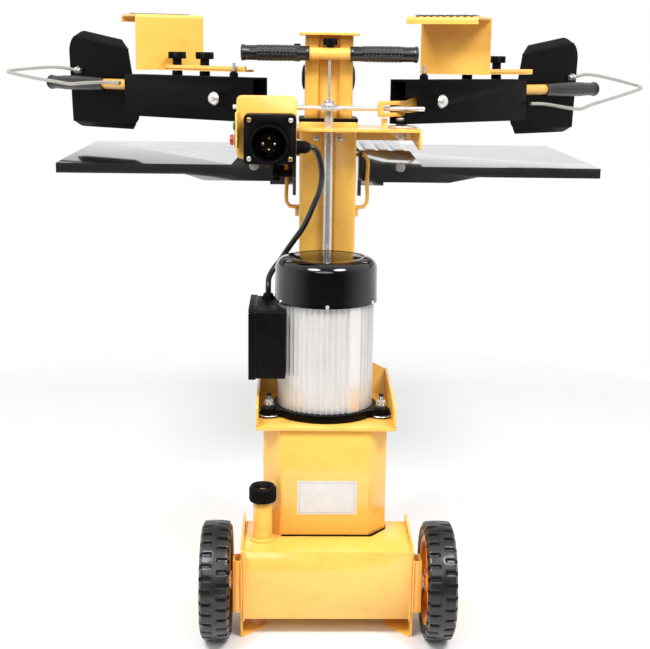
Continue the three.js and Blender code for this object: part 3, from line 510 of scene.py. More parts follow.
def tube(path, radius_at, sides=16):
    """A round bar along a path in metres; radius_at(index) in millimetres."""
    rings = []
    up = Vector((0, 0, 1))
    for index, point in enumerate(path):
        ahead = path[min(index + 1, len(path) - 1)] - path[max(index - 1, 0)]
        ahead.normalize()
        if abs(ahead.dot(up)) > 0.99:
            up = Vector((0, 1, 0)) if abs(ahead.y) < 0.9 else Vector((1, 0, 0))
        side = ahead.cross(up).normalized()
        up = side.cross(ahead).normalized()
        ring = []
        for corner in range(sides):
            angle = 2 * math.pi * corner / sides
            spoke = math.cos(angle) * side + math.sin(angle) * up
            ring.append(point + spoke * radius_at(index) * MM)
        rings.append(ring)
    return skin(rings)


def weld_bead(name, path, body, radius, seed):
    """A lumpy bead of weld under the paint."""
    rng = random.Random(seed)
    sizes = [radius * (0.8 + 0.35 * rng.random()) for _ in path]
    piece(name, tube(path, lambda index: sizes[index], 8), YELLOW, body)


def straight(start, end, steps):
    start, end = Vector(start), Vector(end)
    return [start.lerp(end, step / steps) for step in range(steps + 1)]


# ---------------------------------------------------------------- fasteners, about +Z from their seat
def hexagon(across, height, chamfer=0.8):
    """A hexagon of a width across its flats, with turned-down corners."""
    outer = across / math.sqrt(3)

    def radius_at(angle, level):
        flat = across / 2 / math.cos((angle % (math.pi / 3)) - math.pi / 6)
        limit = [0, outer - chamfer, outer, outer, outer - chamfer, 0][level]
        return min(flat, limit)

    return polar(radius_at, [0, 0, chamfer * 0.6, height - chamfer * 0.6, height, height], 48)


def washer(radius, height, hole=0.0):
    edge = 0.3
    return turned([
        (hole, 0), (radius - edge, 0), (radius, edge), (radius, height - edge),
        (radius - edge, height), (hole, height),
    ], 48)


def thread(radius, length, pitch=1.25):
    """A threaded stud as a stack of ridges with a chamfered end."""
    profile = [(0, 0), (radius, 0)]
    turns = int(length / pitch) - 1
    for turn in range(turns):
        profile.append((radius, turn * pitch + pitch * 0.25))
        profile.append((radius - 0.55, turn * pitch + pitch * 0.75))
    profile += [(radius - 0.2, length - 1.2), (radius - 1.0, length), (0, length)]
    return turned(profile, 24)


def screw_head(radius, height, recess="cross"):
    """A pan head as a height field: a dome with a recess pressed in."""
    segments = 48
    rings = []
    for level, part in enumerate((1.0, 1.0, 0.95, 0.86, 0.74, 0.6, 0.48, 0.36, 0.24, 0.12, 0.0)):
        ring = []
        for index in range(segments):
            angle = 2 * math.pi * index / segments
            x, y = part * math.cos(angle), part * math.sin(angle)
            top = 0.0 if level == 0 else height * (0.45 + 0.55 * math.sqrt(max(0, 1 - part * part)))
            if recess == "cross" and part < 0.62 and min(abs(x), abs(y)) < 0.13:
                top -= height * 0.45
            if recess == "hex" and part < 0.5:
                top -= height * 0.6
            ring.append(Vector((x * radius * MM, y * radius * MM, top * MM)))
        rings.append(ring)
    return skin(rings, caps=False)


def lifted(shape, height):
    return moved(shape, Matrix.Translation((0, 0, height * MM)))


# ---------------------------------------------------------------- hand knobs and grips
def star_knob(radius, height, stem_radius, stem, lobes=6):
    """A lobed knob whose grip starts at stem millimetres above its seat."""
    scales = [0, stem_radius / radius, stem_radius / radius, 0.90, 1.0, 1.0, 0.93, 0.55, 0.50, 0.0]
    heights = [0, 0, stem, stem, stem + 1.2, stem + height - 1.6, stem + height, stem + height,
               stem + height - 1.2, stem + height - 1.2]

    def radius_at(angle, level):
        wave = math.cos(lobes * angle)
        lobe = 0.86 + 0.14 * math.tanh(3.5 * (wave + 0.35))
        star = lobe if 3 <= level <= 6 else 1.0
        return radius * scales[level] * star

    return polar(radius_at, heights, 120)


def hand_grip(length, core, radius):
    """A moulded grip about +Z: a bell at its closed end, a collar and rows of raised ovals."""
    steps, sides = 170, 168
    heights = [length * step / steps for step in range(steps + 1)]
    rows, pitch = 14, 6.4
    bell, rounding, flare = 9, 2, 5
    collar_start, collar_length = 11, 3

    def outline(height):
        from_end = length - height
        shape = radius - 0.9 + 0.9 * math.sin(math.pi * min(max(height / length, 0), 1))
        if from_end < bell:
            shape += 1.7 * math.sin(math.pi * min(from_end / bell, 1) ** 0.7)
        if from_end < rounding:
            shape -= 2.6 * (1 - from_end / rounding) ** 2
        if height < flare:
            shape += 0.9 * math.cos(math.pi / 2 * height / flare)
        if collar_start < from_end < collar_start + collar_length:
            shape += 0.5 * math.sin(math.pi * (from_end - collar_start) / collar_length)
        return shape

    def radius_at(angle, level):
        height = heights[level]
        base = outline(height)
        if length * 0.18 < height < length * 0.76:
            row = angle / (2 * math.pi) * rows
            shift = 0.5 if int(row) % 2 else 0.0
            along = ((height / pitch + shift) % 1.0 - 0.5) * pitch
            across = (row % 1.0 - 0.5) * 2 * math.pi * base / rows
            reach = (along / 2.5) ** 2 + (across / 1.25) ** 2
            if reach < 1:
                base += 0.75 * math.sqrt(1 - reach)
        return base

    body = polar(radius_at, heights, sides)
    mouth = turned([(core, 0.0), (outline(0), 0.0)], sides)
    end = turned([(outline(length), length), (0, length)], sides)
    return joined(body, mouth, end)


# ---------------------------------------------------------------- arm frames
def arm_place(side):
    """The arm's own frame: x along the arm from its pivot, y towards the log side, z up."""
    pivot = Vector(JOINTS[f"arm_{side}_swing"]["pos_m"])
    along = Vector(JOINTS[f"claw_{side}_shift"]["axis"]).normalized()
    across = Vector((0, 0, 1)).cross(along) * SIDES[side]
    turn = Matrix((along, across, (0, 0, 1))).transposed().to_4x4()
    return Matrix.Translation((pivot.x, pivot.y, 0)) @ turn


ARM = {side: arm_place(side) for side in SIDES}


def at_arm(side, s, n, z):
    return ARM[side] @ Vector((s * MM, n * MM, z * MM))


def heading(side, s, n):
    """The direction of a step along and across an arm."""
    return at_arm(side, s, n, 0) - at_arm(side, 0, 0, 0)


# ---------------------------------------------------------------- motor lead
LEAD_RADIUS = 5
GRIP_START = 374
GRIP_LENGTH = 153
LEVER_Z = 887
LEAD = [
    (-0.042, -0.150, 0.795), (-0.036, -0.150, 0.795), (-0.030, -0.150, 0.7946), (-0.023, -0.149, 0.789),
    (-0.0175, -0.147, 0.776), (-0.0135, -0.144, 0.759), (-0.013, -0.139, 0.738), (-0.017, -0.132, 0.717),
    (-0.026, -0.123, 0.694), (-0.035, -0.112, 0.671), (-0.045, -0.101, 0.650), (-0.058, -0.092, 0.630),
    (-0.070, -0.087, 0.612), (-0.081, -0.088, 0.595), (-0.094, -0.098, 0.579), (-0.102, -0.114, 0.566),
    (-0.103, -0.126, 0.555), (-0.103, -0.128, 0.547), (-0.103, -0.128, 0.5404),
]


def make_lead():
    """The lead that hangs from the switch box, passes the fan cover and goes into the terminal box."""
    path = smooth_path(LEAD, 8)
    lead = piece("motor_lead_sheath", tube(path, lambda index: LEAD_RADIUS, 20), GRIP, "frame",
                 replaces=["motor_lead"])


# ---------------------------------------------------------------- wheels
def make_tyre(side):
    """A moulded tyre with two staggered rows of lugs that meet in a zigzag."""
    low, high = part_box(f"tyre_{side}")
    centre = (low + high) / 2
    radius = (high.z - low.z) / 2 / MM
    half = (high.x - low.x) / 2 / MM
    lugs, depth, steps = 30, 4.6, 14
    segments = lugs * 12
    across = [half * (step / steps - 1) for step in range(2 * steps + 1)]

    def step_between(value, low_edge, high_edge):
        part = min(max((value - low_edge) / (high_edge - low_edge), 0), 1)
        return part * part * (3 - 2 * part)

    def radius_at(angle, level):
        x = across[level]
        row = angle / (2 * math.pi) * lugs + (0.5 if x > 0 else 0.0)
        phase = abs((row % 1.0) - 0.5) * 2
        crown = radius - 2.0 * (abs(x) / half) ** 2 - 7.0 * step_between(abs(x), half - 4, half)
        reach = step_between(abs(x), 3.0, 6.0)
        return crown - depth * (step_between(phase, 0.64, 0.78) * reach)

    rim_low, rim_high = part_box(f"rim_{side}")
    bead = (rim_high.z - rim_low.z) / 2 / MM + 0.3

    def wall(sign):
        edge = sign * half
        return turned([
            (radius - 9.0, edge), (radius - 10, edge - sign * 0.2), (radius - 13, edge - sign * 0.9),
            (radius - 17, edge - sign * 0.7), (bead + 2, edge - sign * 3.2), (bead, edge - sign * 5),
        ], segments)

    tread = polar(radius_at, across, segments)
    inside = turned([(bead, -half + 5), (bead, half - 5)], segments)
    shape = seated(joined(tread, wall(-1), wall(1), inside), centre, (1, 0, 0))
    piece(f"tyre_tread_{side}", shape, TYRE, f"wheel_{side}", replaces=[f"tyre_{side}"])


def make_rim(side):
    """A pressed disc with a rolled edge, six ribs, a hub and the cap on the axle's end."""
    low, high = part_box(f"rim_{side}")
    centre = (low + high) / 2
    sign = SIDES[side]
    outwards = (sign, 0, 0)
    radius = (high.z - low.z) / 2 / MM
    half = (high.x - low.x) / 2 / MM
    dish = turned([
        (9, -half + 2), (17, -half + 2), (18, -half + 3), (18, -7), (20, -5), (56, -5), (60, -7),
        (64, -half + 2), (67, -half + 0.5), (radius, -half + 0.5), (radius, half - 0.5), (67, half - 0.5),
        (64, half - 2), (60, 4), (56, 2), (20, 2), (18, 4), (18, half), (17, half + 1), (9, half + 1),
        (9, -half + 2),
    ], 96)
    ribs, rib_outline = 6, [(17, -2.2), (61, -1.6), (61, 1.6), (17, 2.2)]
    turns = [Matrix.Rotation(2 * math.pi * rib / ribs, 4, "Z") for rib in range(ribs)]
    spokes = [prism(rib_outline, -half + 5, half - 6, turn) for turn in turns]
    piece(f"wheel_disc_{side}", seated(joined(dish, *spokes), centre, outwards), RIM, f"wheel_{side}",
          edge=0.5, replaces=[f"rim_{side}"])
    outer = centre + Vector((sign * (half + 0.2) * MM, 0, 0))
    cap = turned([
        (0, 0), (13, 0), (14, 0.8), (13.4, 2.4), (9.5, 3.2), (8.5, 6.5), (5, 8.2), (0, 8.8),
    ], 48)
    piece(f"axle_cap_{side}", seated(cap, outer, outwards), ZINC, f"wheel_{side}")
    inner = Vector((centre.x - sign * (half + 3.5) * MM, centre.y, centre.z))
    piece(f"axle_washer_{side}", seated(washer(15, 2.2, 8.4), inner, outwards), ZINC, "frame")


# ---------------------------------------------------------------- tank and pedestal
def make_filler_cap():
    """The knurled cap of the oil filler, its insert, and the weld round the filler pipe."""
    low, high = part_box("filler_cap")
    axis = (low + high) / 2
    bottom, top, radius = low.z / MM, high.z / MM, (high.x - low.x) / 2 / MM
    ribs, rib_depth = 44, 1.1
    radii = [18, radius - 1.6, radius - 1, radius, radius, radius - 1.2, radius - 2.6, 19, 17.6, 12.4, 12.4]
    heights = [bottom, bottom, bottom + 0.6, bottom + 3.5, top - 5, top - 3.6, top - 1.0, top, top - 0.8,
               top - 9.2, top - 11.5]

    def knurl(angle, level):
        size = radii[level]
        if 3 <= level <= 4:
            size -= rib_depth * (0.5 + 0.5 * math.cos(ribs * angle)) ** 2
        return size

    place = Matrix.Translation((axis.x, axis.y, 0))
    piece("filler_cap_knurled", moved(polar(knurl, heights, ribs * 8), place), PLASTIC, "oil_cap",
          replaces=["filler_cap"])
    plug = turned([
        (0, top - 8.6), (3, top - 8.8), (10.5, top - 9.8), (12.3, top - 10.6), (12.3, top - 12),
        (0, top - 12),
    ])
    piece("filler_cap_insert", moved(plug, place), YELLOW, "oil_cap")

    pipe, weld_height, steps = 17.6 * MM, 0.1505, 60
    turns = [2 * math.pi * step / steps for step in range(steps + 1)]
    ring = [Vector((axis.x + pipe * math.cos(turn), axis.y + pipe * math.sin(turn), weld_height))
            for turn in turns]
    weld_bead("weld_filler", ring, "frame", 3.0, 3)


def make_tank_welds():
    """The beads along the tank's rear and top corners and along its axle brackets."""
    corner_x, bracket_x, bracket_y = 0.1375, 0.1418, -0.3525
    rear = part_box("tank")[0].y + 3 * MM
    for side, sign in SIDES.items():
        x, bracket = sign * corner_x, sign * bracket_x
        for name, start, end, steps, radius, seed in (
            ("tank_rear", (x, rear - 0.0005, 0.032), (x, rear - 0.0005, 0.148), 40, 1.8, 5),
            ("tank_top", (x, rear, 0.1495), (x, -0.205, 0.1495), 46, 1.8, 6),
            ("bracket", (bracket, bracket_y, 0.050), (bracket, bracket_y, 0.136), 30, 1.6, 7),
        ):
            weld_bead(f"weld_{name}_{side}", straight(start, end, steps), "frame", radius, seed)


def make_pedestal_details():
    """The gasket under the pedestal, and the blank rating label with its border."""
    low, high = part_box("pedestal")
    half, back, front = high.x / MM, low.y / MM, high.y / MM
    outline = rounded([
        [-75, back, 4], [75, back, 4], [half, -235, 4], [half, front], [-half, front], [-half, -235, 4],
    ])
    centre = Vector((0, (back + front) / 2))
    gasket = [centre + (point - centre) * 1.012 for point in outline]
    piece("pedestal_gasket", prism(gasket, 149.05, 151.6), PLASTIC, "frame")

    label = facing((0, back * MM - 0.0001, 0.218), (0, -1, 0))
    piece("rating_label", prism(rounded(rectangle(50, 29.5, 1)), 0, 0.35, label), LABEL, "frame")
    loops = [[label @ Vector((a * MM, b * MM, 0.42 * MM)) for a, b in rounded(rectangle(*edge))]
             for edge in ((46.5, 26.5, 4), (46.1, 26.1, 3.8))]
    piece("rating_label_border", skin(loops, caps=False), INK, "frame")


# ---------------------------------------------------------------- motor
def make_motor():
    """The finned motor body with one flat pad, and the fan cover on top of it."""
    low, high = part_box("motor_body")
    axis = Vector(((low.x + high.x) / 2, (low.y + high.y) / 2, 0))
    tip = (high.x - low.x) / 2 / MM
    fins = 52
    fin_side = ((0.0, 0.2), (0.05, 0), (0.15, 0), (0.20, 0.2), (0.26, 1.6), (0.34, 3.4), (0.42, 3.9),
                (0.78, 3.9), (0.86, 3.4), (0.94, 1.6))
    pad_start, pad_end = math.radians(-62), math.radians(-46)
    pad_middle = (pad_start + pad_end) / 2
    pad_reach = (tip - 1.2) * math.cos((pad_end - pad_start) / 2)
    outline = []
    for fin in range(fins):
        for part, depth in fin_side:
            angle = 2 * math.pi * (fin + part) / fins
            folded = (angle + math.pi) % (2 * math.pi) - math.pi
            reach = tip - depth
            if pad_start < folded < pad_end:
                reach = pad_reach / math.cos(folded - pad_middle) + 1.4
            outline.append(Vector((reach * math.cos(angle), reach * math.sin(angle))))
    ribs = prism(outline, low.z / MM, high.z / MM, Matrix.Translation(axis))
    piece("motor_ribs", ribs, ALUMINIUM, "frame", edge=0.4, replaces=["motor_body"])
    make_fan_cover(axis)


def make_fan_cover(axis):
    """The pressed cover with its round shoulder, its grille and four screws."""
    low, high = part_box("fan_cover")
    radius, bottom, top = (high.x - low.x) / 2 / MM, low.z / MM, high.z / MM
    shoulder, steps = 20, 10
    turns = [math.pi / 2 * step / steps for step in range(steps + 1)]
    bend = [(radius - 0.6 - shoulder + shoulder * math.cos(turn),
             top - 1 - shoulder + shoulder * math.sin(turn)) for turn in turns]
    cover = turned([
        (radius - 2, bottom), (radius - 0.6, bottom), (radius, bottom + 0.6), (radius, bottom + 8),
        (radius - 0.6, bottom + 9), *bend, (62, top - 0.6), (60.6, top - 1), (60.6, top - 2),
        (67, top - 2.4), (radius - 8, top - 9), (radius - 3, top - 20), (radius - 2, bottom),
    ], 128)
    piece("fan_cover_shell", moved(cover, Matrix.Translation(axis)), COVER, "frame",
          replaces=["fan_cover"])
    make_grille(axis, 61.5, top - 2.2)
    for index, degrees in enumerate((-90, -28, 90, 208)):
        angle = math.radians(degrees)
        direction = Vector((math.cos(angle), math.sin(angle), 0))
        spot = axis + direction * radius * MM + Vector((0, 0, (bottom + 3.6) * MM))
        piece(f"fan_cover_screw_{index}", seated(screw_head(3.3, 1.8), spot, direction), ZINC, "frame")


def make_grille(axis, radius, height):
    """The perforated disc over the fan, slightly domed: round holes in staggered rows of six-sided cells."""
    pitch, hole, dome, thickness, sides = 4.3, 1.35, 2.4, 0.8, 12
    row_step = pitch * math.sqrt(3) / 2
    rows = int(radius / row_step)
    cells = []
    for row in range(-rows, rows + 1):
        for column in range(-rows - 2, rows + 3):
            x, y = (column + 0.5 * (row % 2)) * pitch, row * row_step
            if math.hypot(x, y) > radius - 0.3:
                continue
            rings = []
            for level, in_hole in ((0, False), (0, True), (1, True), (1, False)):
                ring = []
                for corner in range(sides):
                    angle = 2 * math.pi * corner / sides
                    reach = hole if in_hole else pitch / (2 if corner % 2 == 0 else math.sqrt(3))
                    across, along = x + reach * math.cos(angle), y + reach * math.sin(angle)
                    rise = dome * (1 - (across ** 2 + along ** 2) / radius ** 2)
                    z = height + rise + level * thickness
                    ring.append(Vector((axis.x + across * MM, axis.y + along * MM, z * MM)))
                rings.append(ring)
            cells.append(skin(rings, caps=False))
    piece("fan_grille", joined(*cells), COVER, "frame", flat=True)


def make_motor_mounts():
    """Four rubber mounts between the motor's feet and the tray, each with a plate, a stud and a nut."""
    low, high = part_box("motor_body")
    axis = (low + high) / 2
    tray_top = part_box("motor_tray")[0].z + 5 * MM
    rubber = turned([
        (0, 0.2), (17.2, 0.2), (17.8, 1.2), (17.8, 2.6), (17.2, 3.6), (16.6, 4.2), (17.4, 5.2), (17.2, 6.2),
        (14.8, 7.2), (13.8, 8.0), (0, 8.0),
    ], 64)
    collar = turned([(0, 12), (11.0, 12), (11.6, 13), (10.6, 19), (8.4, 21), (0, 21)], 48)
    rim = turned([(15.2, 3.4), (18.6, 3.4), (19.0, 3.9), (18.6, 4.5), (15.2, 4.5), (15.2, 3.4)], 64)
    nut = lifted(joined(washer(8.0, 1.4), lifted(hexagon(13, 6.5), 1.5), lifted(thread(4.0, 17), 0.5)), 21)
    spots = {"rear": (0.096, -0.041), "front": (0.060, 0.066)}
    for side, sign in SIDES.items():
        for end, (x, y) in spots.items():
            place = Matrix.Translation((axis.x + sign * x, axis.y + y, tray_top))
            piece(f"mount_rubber_{end}_{side}", moved(joined(rubber, collar), place), GRIP, "frame")
            piece(f"mount_plate_{end}_{side}", moved(rim, place), ZINC, "frame")
            piece(f"mount_nut_{end}_{side}", moved(nut, place), ZINC, "frame")


def make_terminal_details():
    """The terminal lid's screws and seal, and the gland where the lead goes in."""
    low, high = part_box("terminal_lid")
    for index, (y, z) in enumerate(corners(low.yz, high.yz, 0.010)):
        screw = seated(screw_head(3.6, 2.0), (low.x + 0.0004, y, z), (-1, 0, 0))
        piece(f"terminal_screw_{index}", screw, ZINC, "frame")
    seam = rounded(rectangle((high.y - low.y) / 2 / MM - 1.0, (high.z - low.z) / 2 / MM - 1.0, 7))
    place = facing((high.x - 0.0006, (low.y + high.y) / 2, (low.z + high.z) / 2), (1, 0, 0))
    piece("terminal_seal", prism(seam, 0, 1.4, place), GRIP, "frame")
    dome = turned([(0, 0), (8.6, 0), (8.9, 1), (8.7, 4), (6.6, 6.3), (5.2, 6.6)])
    spot = (*LEAD[-1][:2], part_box("terminal_box")[1].z - 0.0092)
    gland = moved(joined(hexagon(19, 5), lifted(dome, 4.4)), Matrix.Translation(spot))
    piece("terminal_gland", gland, PLASTIC, "frame")


# ---------------------------------------------------------------- switch box
def make_switch_screws():
    """Four screws in their bosses on the switch box."""
    low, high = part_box("switch_box")
    boss = turned([(0, -2), (7.4, -2), (7.4, 0.9), (6.9, 1.5), (4.7, 1.6), (4.5, 0.4), (0, 0.4)], 48)
    screw = lifted(screw_head(4.0, 2.0), 0.4)
    for index, (x, z) in enumerate(corners(low.xz, high.xz, 0.009)):
        place = facing((x, low.y, z), (0, -1, 0))
        piece(f"switch_boss_{index}", moved(boss, place), PLASTIC, "frame")
        metal = BRASS if index in (1, 2) else ZINC
        piece(f"switch_screw_{index}", moved(screw, place), metal, "frame")


def make_inlet():
    """The power inlet: a grooved collar, a keyed core and four pins in sleeves, one of them thicker."""
    low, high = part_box("power_inlet")
    centre = (low + high) / 2
    radius, depth = (high.x - low.x) / 2 / MM, (high.y - low.y) / MM
    place = facing((centre.x, high.y, centre.z), (0, -1, 0))
    collar = turned([
        (0, 0), (radius, 0), (radius, depth - 9), (radius - 0.4, depth - 8.6), (radius - 0.4, depth - 7),
        (radius, depth - 6.6), (radius, depth - 1.2), (radius - 1, depth), (29.4, depth),
        (28.6, depth - 1.2), (28.0, 6), (27, 5), (0, 5),
    ], 96)
    piece("inlet_collar", moved(collar, place), PLASTIC, "frame", replaces=["power_inlet"])
    core = turned([
        (0, 4), (17.4, 4), (17.4, 26), (16.6, 27.4), (15.6, 27.8), (13.8, 27.6), (13.2, 26.6), (0, 26.6),
    ], 64)
    key = prism([(-3.2, -21.5), (3.2, -21.5), (3.2, -15), (-3.2, -15)], 4, 27)
    piece("inlet_core", moved(joined(core, key), place), PLASTIC, "frame", edge=0.4)
    pins = [(0, 9.6, 2.3), (90, 9.6, 2.3), (180, 10.4, 3.1), (270, 9.6, 2.3)]
    for index, (degrees, reach, size) in enumerate(pins):
        angle = math.radians(degrees)
        socket = turned([
            (0, 0), (size + 1.9, 0), (size + 1.9, 27.2), (size + 1.4, 27.6), (size + 0.4, 27.6),
            (size + 0.2, 26.8), (0, 26.8),
        ], 40)
        pin = turned([
            (0, 0), (size, 0), (size, 34.6), (size - 0.5, 35.8), (size - 1.4, 36.4), (0, 36.6),
        ], 32)
        offset = (reach * MM * math.cos(angle), reach * MM * math.sin(angle), 0)
        spot = place @ Matrix.Translation(offset)
        piece(f"inlet_sleeve_{index}", moved(socket, spot), PLASTIC, "frame")
        piece(f"inlet_pin_{index}", moved(pin, spot), BRASS if index else ZINC, "frame")


def make_gland():
    """The ribbed nut that grips the motor lead beside the switch box."""
    low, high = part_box("cable_gland")
    place = facing((low.x, (low.y + high.y) / 2, (low.z + high.z) / 2), (1, 0, 0))
    radii = [9, 10.0, 10.6, 10.6, 10.2, 8.4, 6.6, 5.4]
    heights = [7, 7, 8, 15, 17, 20.5, 22.8, 23.4]
    ribs, rib_depth = 18, 0.5

    def ribbed(angle, level):
        return radii[level] - (rib_depth * (0.5 + 0.5 * math.cos(ribs * angle)) if 1 <= level <= 4 else 0)

    nut = polar(ribbed, heights, ribs * 8)
    piece("gland_body", moved(joined(hexagon(22, 7), nut), place), PLASTIC, "frame",
          replaces=["cable_gland"])


BUTTON_Y = -0.150
BUTTONS = {  # name: height of the axis, radius of the ring, radius and height of the cap, colour
    "start": (0.829, 10.5, 6.4, 4.6, GREEN),
    "stop": (0.806, 12.0, 8.8, 6.3, RED),
}


def make_buttons():
    """A ring on the bracket for each button, and a cap that moves with it."""
    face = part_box("switch_bracket")[0].x
    for name, (z, radius, *_) in BUTTONS.items():
        ring = turned([
            (radius - 2.6, 0), (radius, 0), (radius + 0.3, 0.5), (radius - 0.6, 2.0), (radius - 2.6, 2.2),
        ], 48)
        piece(f"{name}_button_ring", seated(ring, (face, BUTTON_Y, z), (-1, 0, 0)), PLASTIC, "frame")
    for name, (z, _, radius, height, colour) in BUTTONS.items():
        cap = turned([
            (0, height), (radius - 2.2, height - 0.1), (radius - 0.8, height - 0.6), (radius, height - 1.8),
            (radius, 0.6), (radius - 0.6, 0), (0, 0),
        ], 48)
        spot = (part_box(f"{name}_button")[0].x + height * MM, BUTTON_Y, z)
        piece(f"{name}_button_cap", seated(cap, spot, (-1, 0, 0)), colour, f"{name}_push",
              replaces=[f"{name}_button"])


# ---------------------------------------------------------------- column, ram and handlebar
RODS_Y = -0.062


def make_column_details():
    """The guide ring's screws and the caps on the piston pin."""
    screw = joined(washer(6.2, 1.2), lifted(screw_head(5.0, 3.0), 1.2))
    for side, sign in SIDES.items():
        spot = (sign * 0.0205, -0.0499, 0.805)
        piece(f"guide_screw_{side}", seated(screw, spot, (0, -1, 0), 0.5 * sign), ZINC, "frame")
    low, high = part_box("piston_pin")
    dome = turned([
        (0, 0), (21.0, 0), (21.6, 0.5), (21.4, 1.4), (19.0, 2.9), (14.5, 4.2), (8, 5.1), (0, 5.4),
    ], 72)
    for side, sign in SIDES.items():
        spot = (0.0424 * sign, 0, (low.z + high.z) / 2)
        piece(f"pin_cap_{side}", seated(dome, spot, (sign, 0, 0)), PLASTIC, "ram")


def make_handlebar_details():
    """The handlebar's two welds and the moulded sleeves of its grips."""
    seam_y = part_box("ram_column")[0].y + 0.0201
    bar_low, bar_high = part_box("handlebar")
    y, z = bar_low.y + 0.0103, (bar_low.z + bar_high.z) / 2
    for name, level, seed in (("low", -1, 10), ("high", 1, 12)):
        ends = [(x, seam_y, z + level * 0.0078) for x in (-0.028, 0.028)]
        weld_bead(f"weld_handlebar_{name}", straight(*ends, 24), "ram", 1.7, seed)
    for side, sign in SIDES.items():
        low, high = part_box(f"handle_grip_{side}")
        grip = hand_grip((high.x - low.x) / MM, 10.6, 13.2)
        start = (low.x if sign > 0 else high.x, y, z)
        piece(f"handle_grip_sleeve_{side}", seated(grip, start, (sign, 0, 0)), GRIP, "ram",
              replaces=[f"handle_grip_{side}"])


def make_hand_knobs():
    """The star knobs on the stroke rod, on the ram column's side and under the table."""
    low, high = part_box("top_knob")
    knob = star_knob(12.4, high.z / MM - low.z / MM - 3.6, 6.2, 3.6)
    spot = (((low + high) / 2).x, RODS_Y, low.z)
    piece("rod_star_knob", moved(knob, Matrix.Translation(spot)), PLASTIC, "rod_knob",
          replaces=["top_knob"])
    low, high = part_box("side_knob")
    knob = star_knob(16.4, 12, 6.0, (high.x - low.x) / MM - 12)
    spot = (high.x, ((low + high) / 2).y, 0.9505)
    piece("side_star_knob", seated(knob, spot, (-1, 0, 0)), PLASTIC, "ram", replaces=["side_knob"])
    low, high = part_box("table_knob")
    knob = star_knob(16.2, 12.5, 6.4, (high.x - low.x) / MM - 12.5)
    spot = (high.x, -0.0115, 0.738)
    piece("table_star_knob", seated(knob, spot, (-1, 0, 0)), PLASTIC, "table_catch",
          replaces=["table_knob"])


def make_valve_details():
    """Nut, washers and smooth bars of the linkage that joins both levers to the valve."""
    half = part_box("rocker_bar")[1].x / MM
    bar = turned([(0, -half), (3.4, -half), (4.3, -half + 1), (4.3, half - 1), (3.4, half), (0, half)], 32)
    boss = turned([
        (8.4, -4.5), (18.2, -4.5), (19, -3.7), (19, -1.2), (14.5, -0.6), (14.5, 1.6), (12.5, 2.4),
        (12.5, 4.6), (8.4, 4.6), (8.4, -4.5),
    ], 64)
    centre = (0, RODS_Y, 0.857)
    shape = joined(seated(bar, centre, (1, 0, 0)), moved(boss, Matrix.Translation(centre)))
    piece("rocker_rod", shape, ZINC, "valve", replaces=["rocker_bar"])

    axis = Matrix.Translation((0, RODS_Y, 0))
    low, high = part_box("valve_tube")
    bottom, top = low.z / MM, high.z / MM
    pipe = turned([
        (0, bottom), (4.9, bottom), (4.9, 291), (8, 291), (8, top - 8.4), (14.6, top - 8.2),
        (15, top - 7.6), (14.8, top - 6.2), (11.5, top - 5.6), (11.5, top - 5.2), (6, top - 5.2),
        (5.2, top - 5.2), (4.6, top - 40), (4.6, top - 560), (0, top - 560),
    ], 64)
    nut = lifted(hexagon(17, 5.2), top - 5.4)
    piece("valve_pipe", moved(joined(pipe, nut), axis), ZINC, "valve", replaces=["valve_tube"])
    low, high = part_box("stroke_rod")
    bottom, top = low.z / MM, high.z / MM
    rod = turned([(0, bottom), (2.1, bottom), (2.5, bottom + 1), (2.5, top - 1), (0, top)], 24)
    piece("stroke_bar", moved(rod, axis), ZINC, "ram", replaces=["stroke_rod"])
    stop = joined(lifted(washer(7.0, 1.4), 872.0), lifted(thread(3.2, 7), 865.5))
    piece("stroke_bar_stop", moved(stop, axis), ZINC, "valve")


# ---------------------------------------------------------------- control arms
def make_arm(side):
    """One arm's bolts and nuts, its lever's grip, and then its bow, guard and claw."""
    arm = f"arm_{side}"
    near, along = heading(side, 0, -1), heading(side, 1, 0)
    cap = turned([(0, 0), (10.8, 0), (11.2, 0.9), (10.2, 3.4), (7.4, 5.4), (3.6, 6.3), (0, 6.5)], 48)
    bolt = joined(washer(11.8, 1.4), lifted(cap, 1.2))
    nut = joined(washer(11, 1.4), lifted(hexagon(16, 6.5), 1.4))
    piece(f"lever_bolt_{side}", seated(bolt, at_arm(side, 78, -21.1, 869), near), ZINC, arm)
    piece(f"lever_nut_{side}", seated(nut, at_arm(side, 78, 21.1, 869), -near), ZINC, arm)
    stud = moved(thread(3.4, 26), Matrix.Translation(at_arm(side, 36, -16, 906.2)))
    piece(f"stop_stud_{side}", stud, ZINC, arm)
    insert = turned([(0, 0), (5.6, 0), (5.4, 2.0), (4.0, 2.8), (0, 2.8)], 32)
    locknut = joined(washer(8.2, 1.2), lifted(hexagon(13, 6.6), 1.0), lifted(insert, 7.4))
    seat = Matrix.Translation(at_arm(side, 36, -16, 907.0))
    piece(f"stop_nut_{side}", moved(locknut, seat), PLASTIC, arm)

    grip = hand_grip(GRIP_LENGTH, 10.3, 13.2)
    piece(f"lever_grip_sleeve_{side}", seated(grip, at_arm(side, GRIP_START, 0, LEVER_Z), along), GRIP,
          f"hand_lever_{side}", replaces=[f"lever_grip_{side}"])
    make_bow(side)
    make_guard(side)
    make_claw(side)
    make_claw_knobs(side)


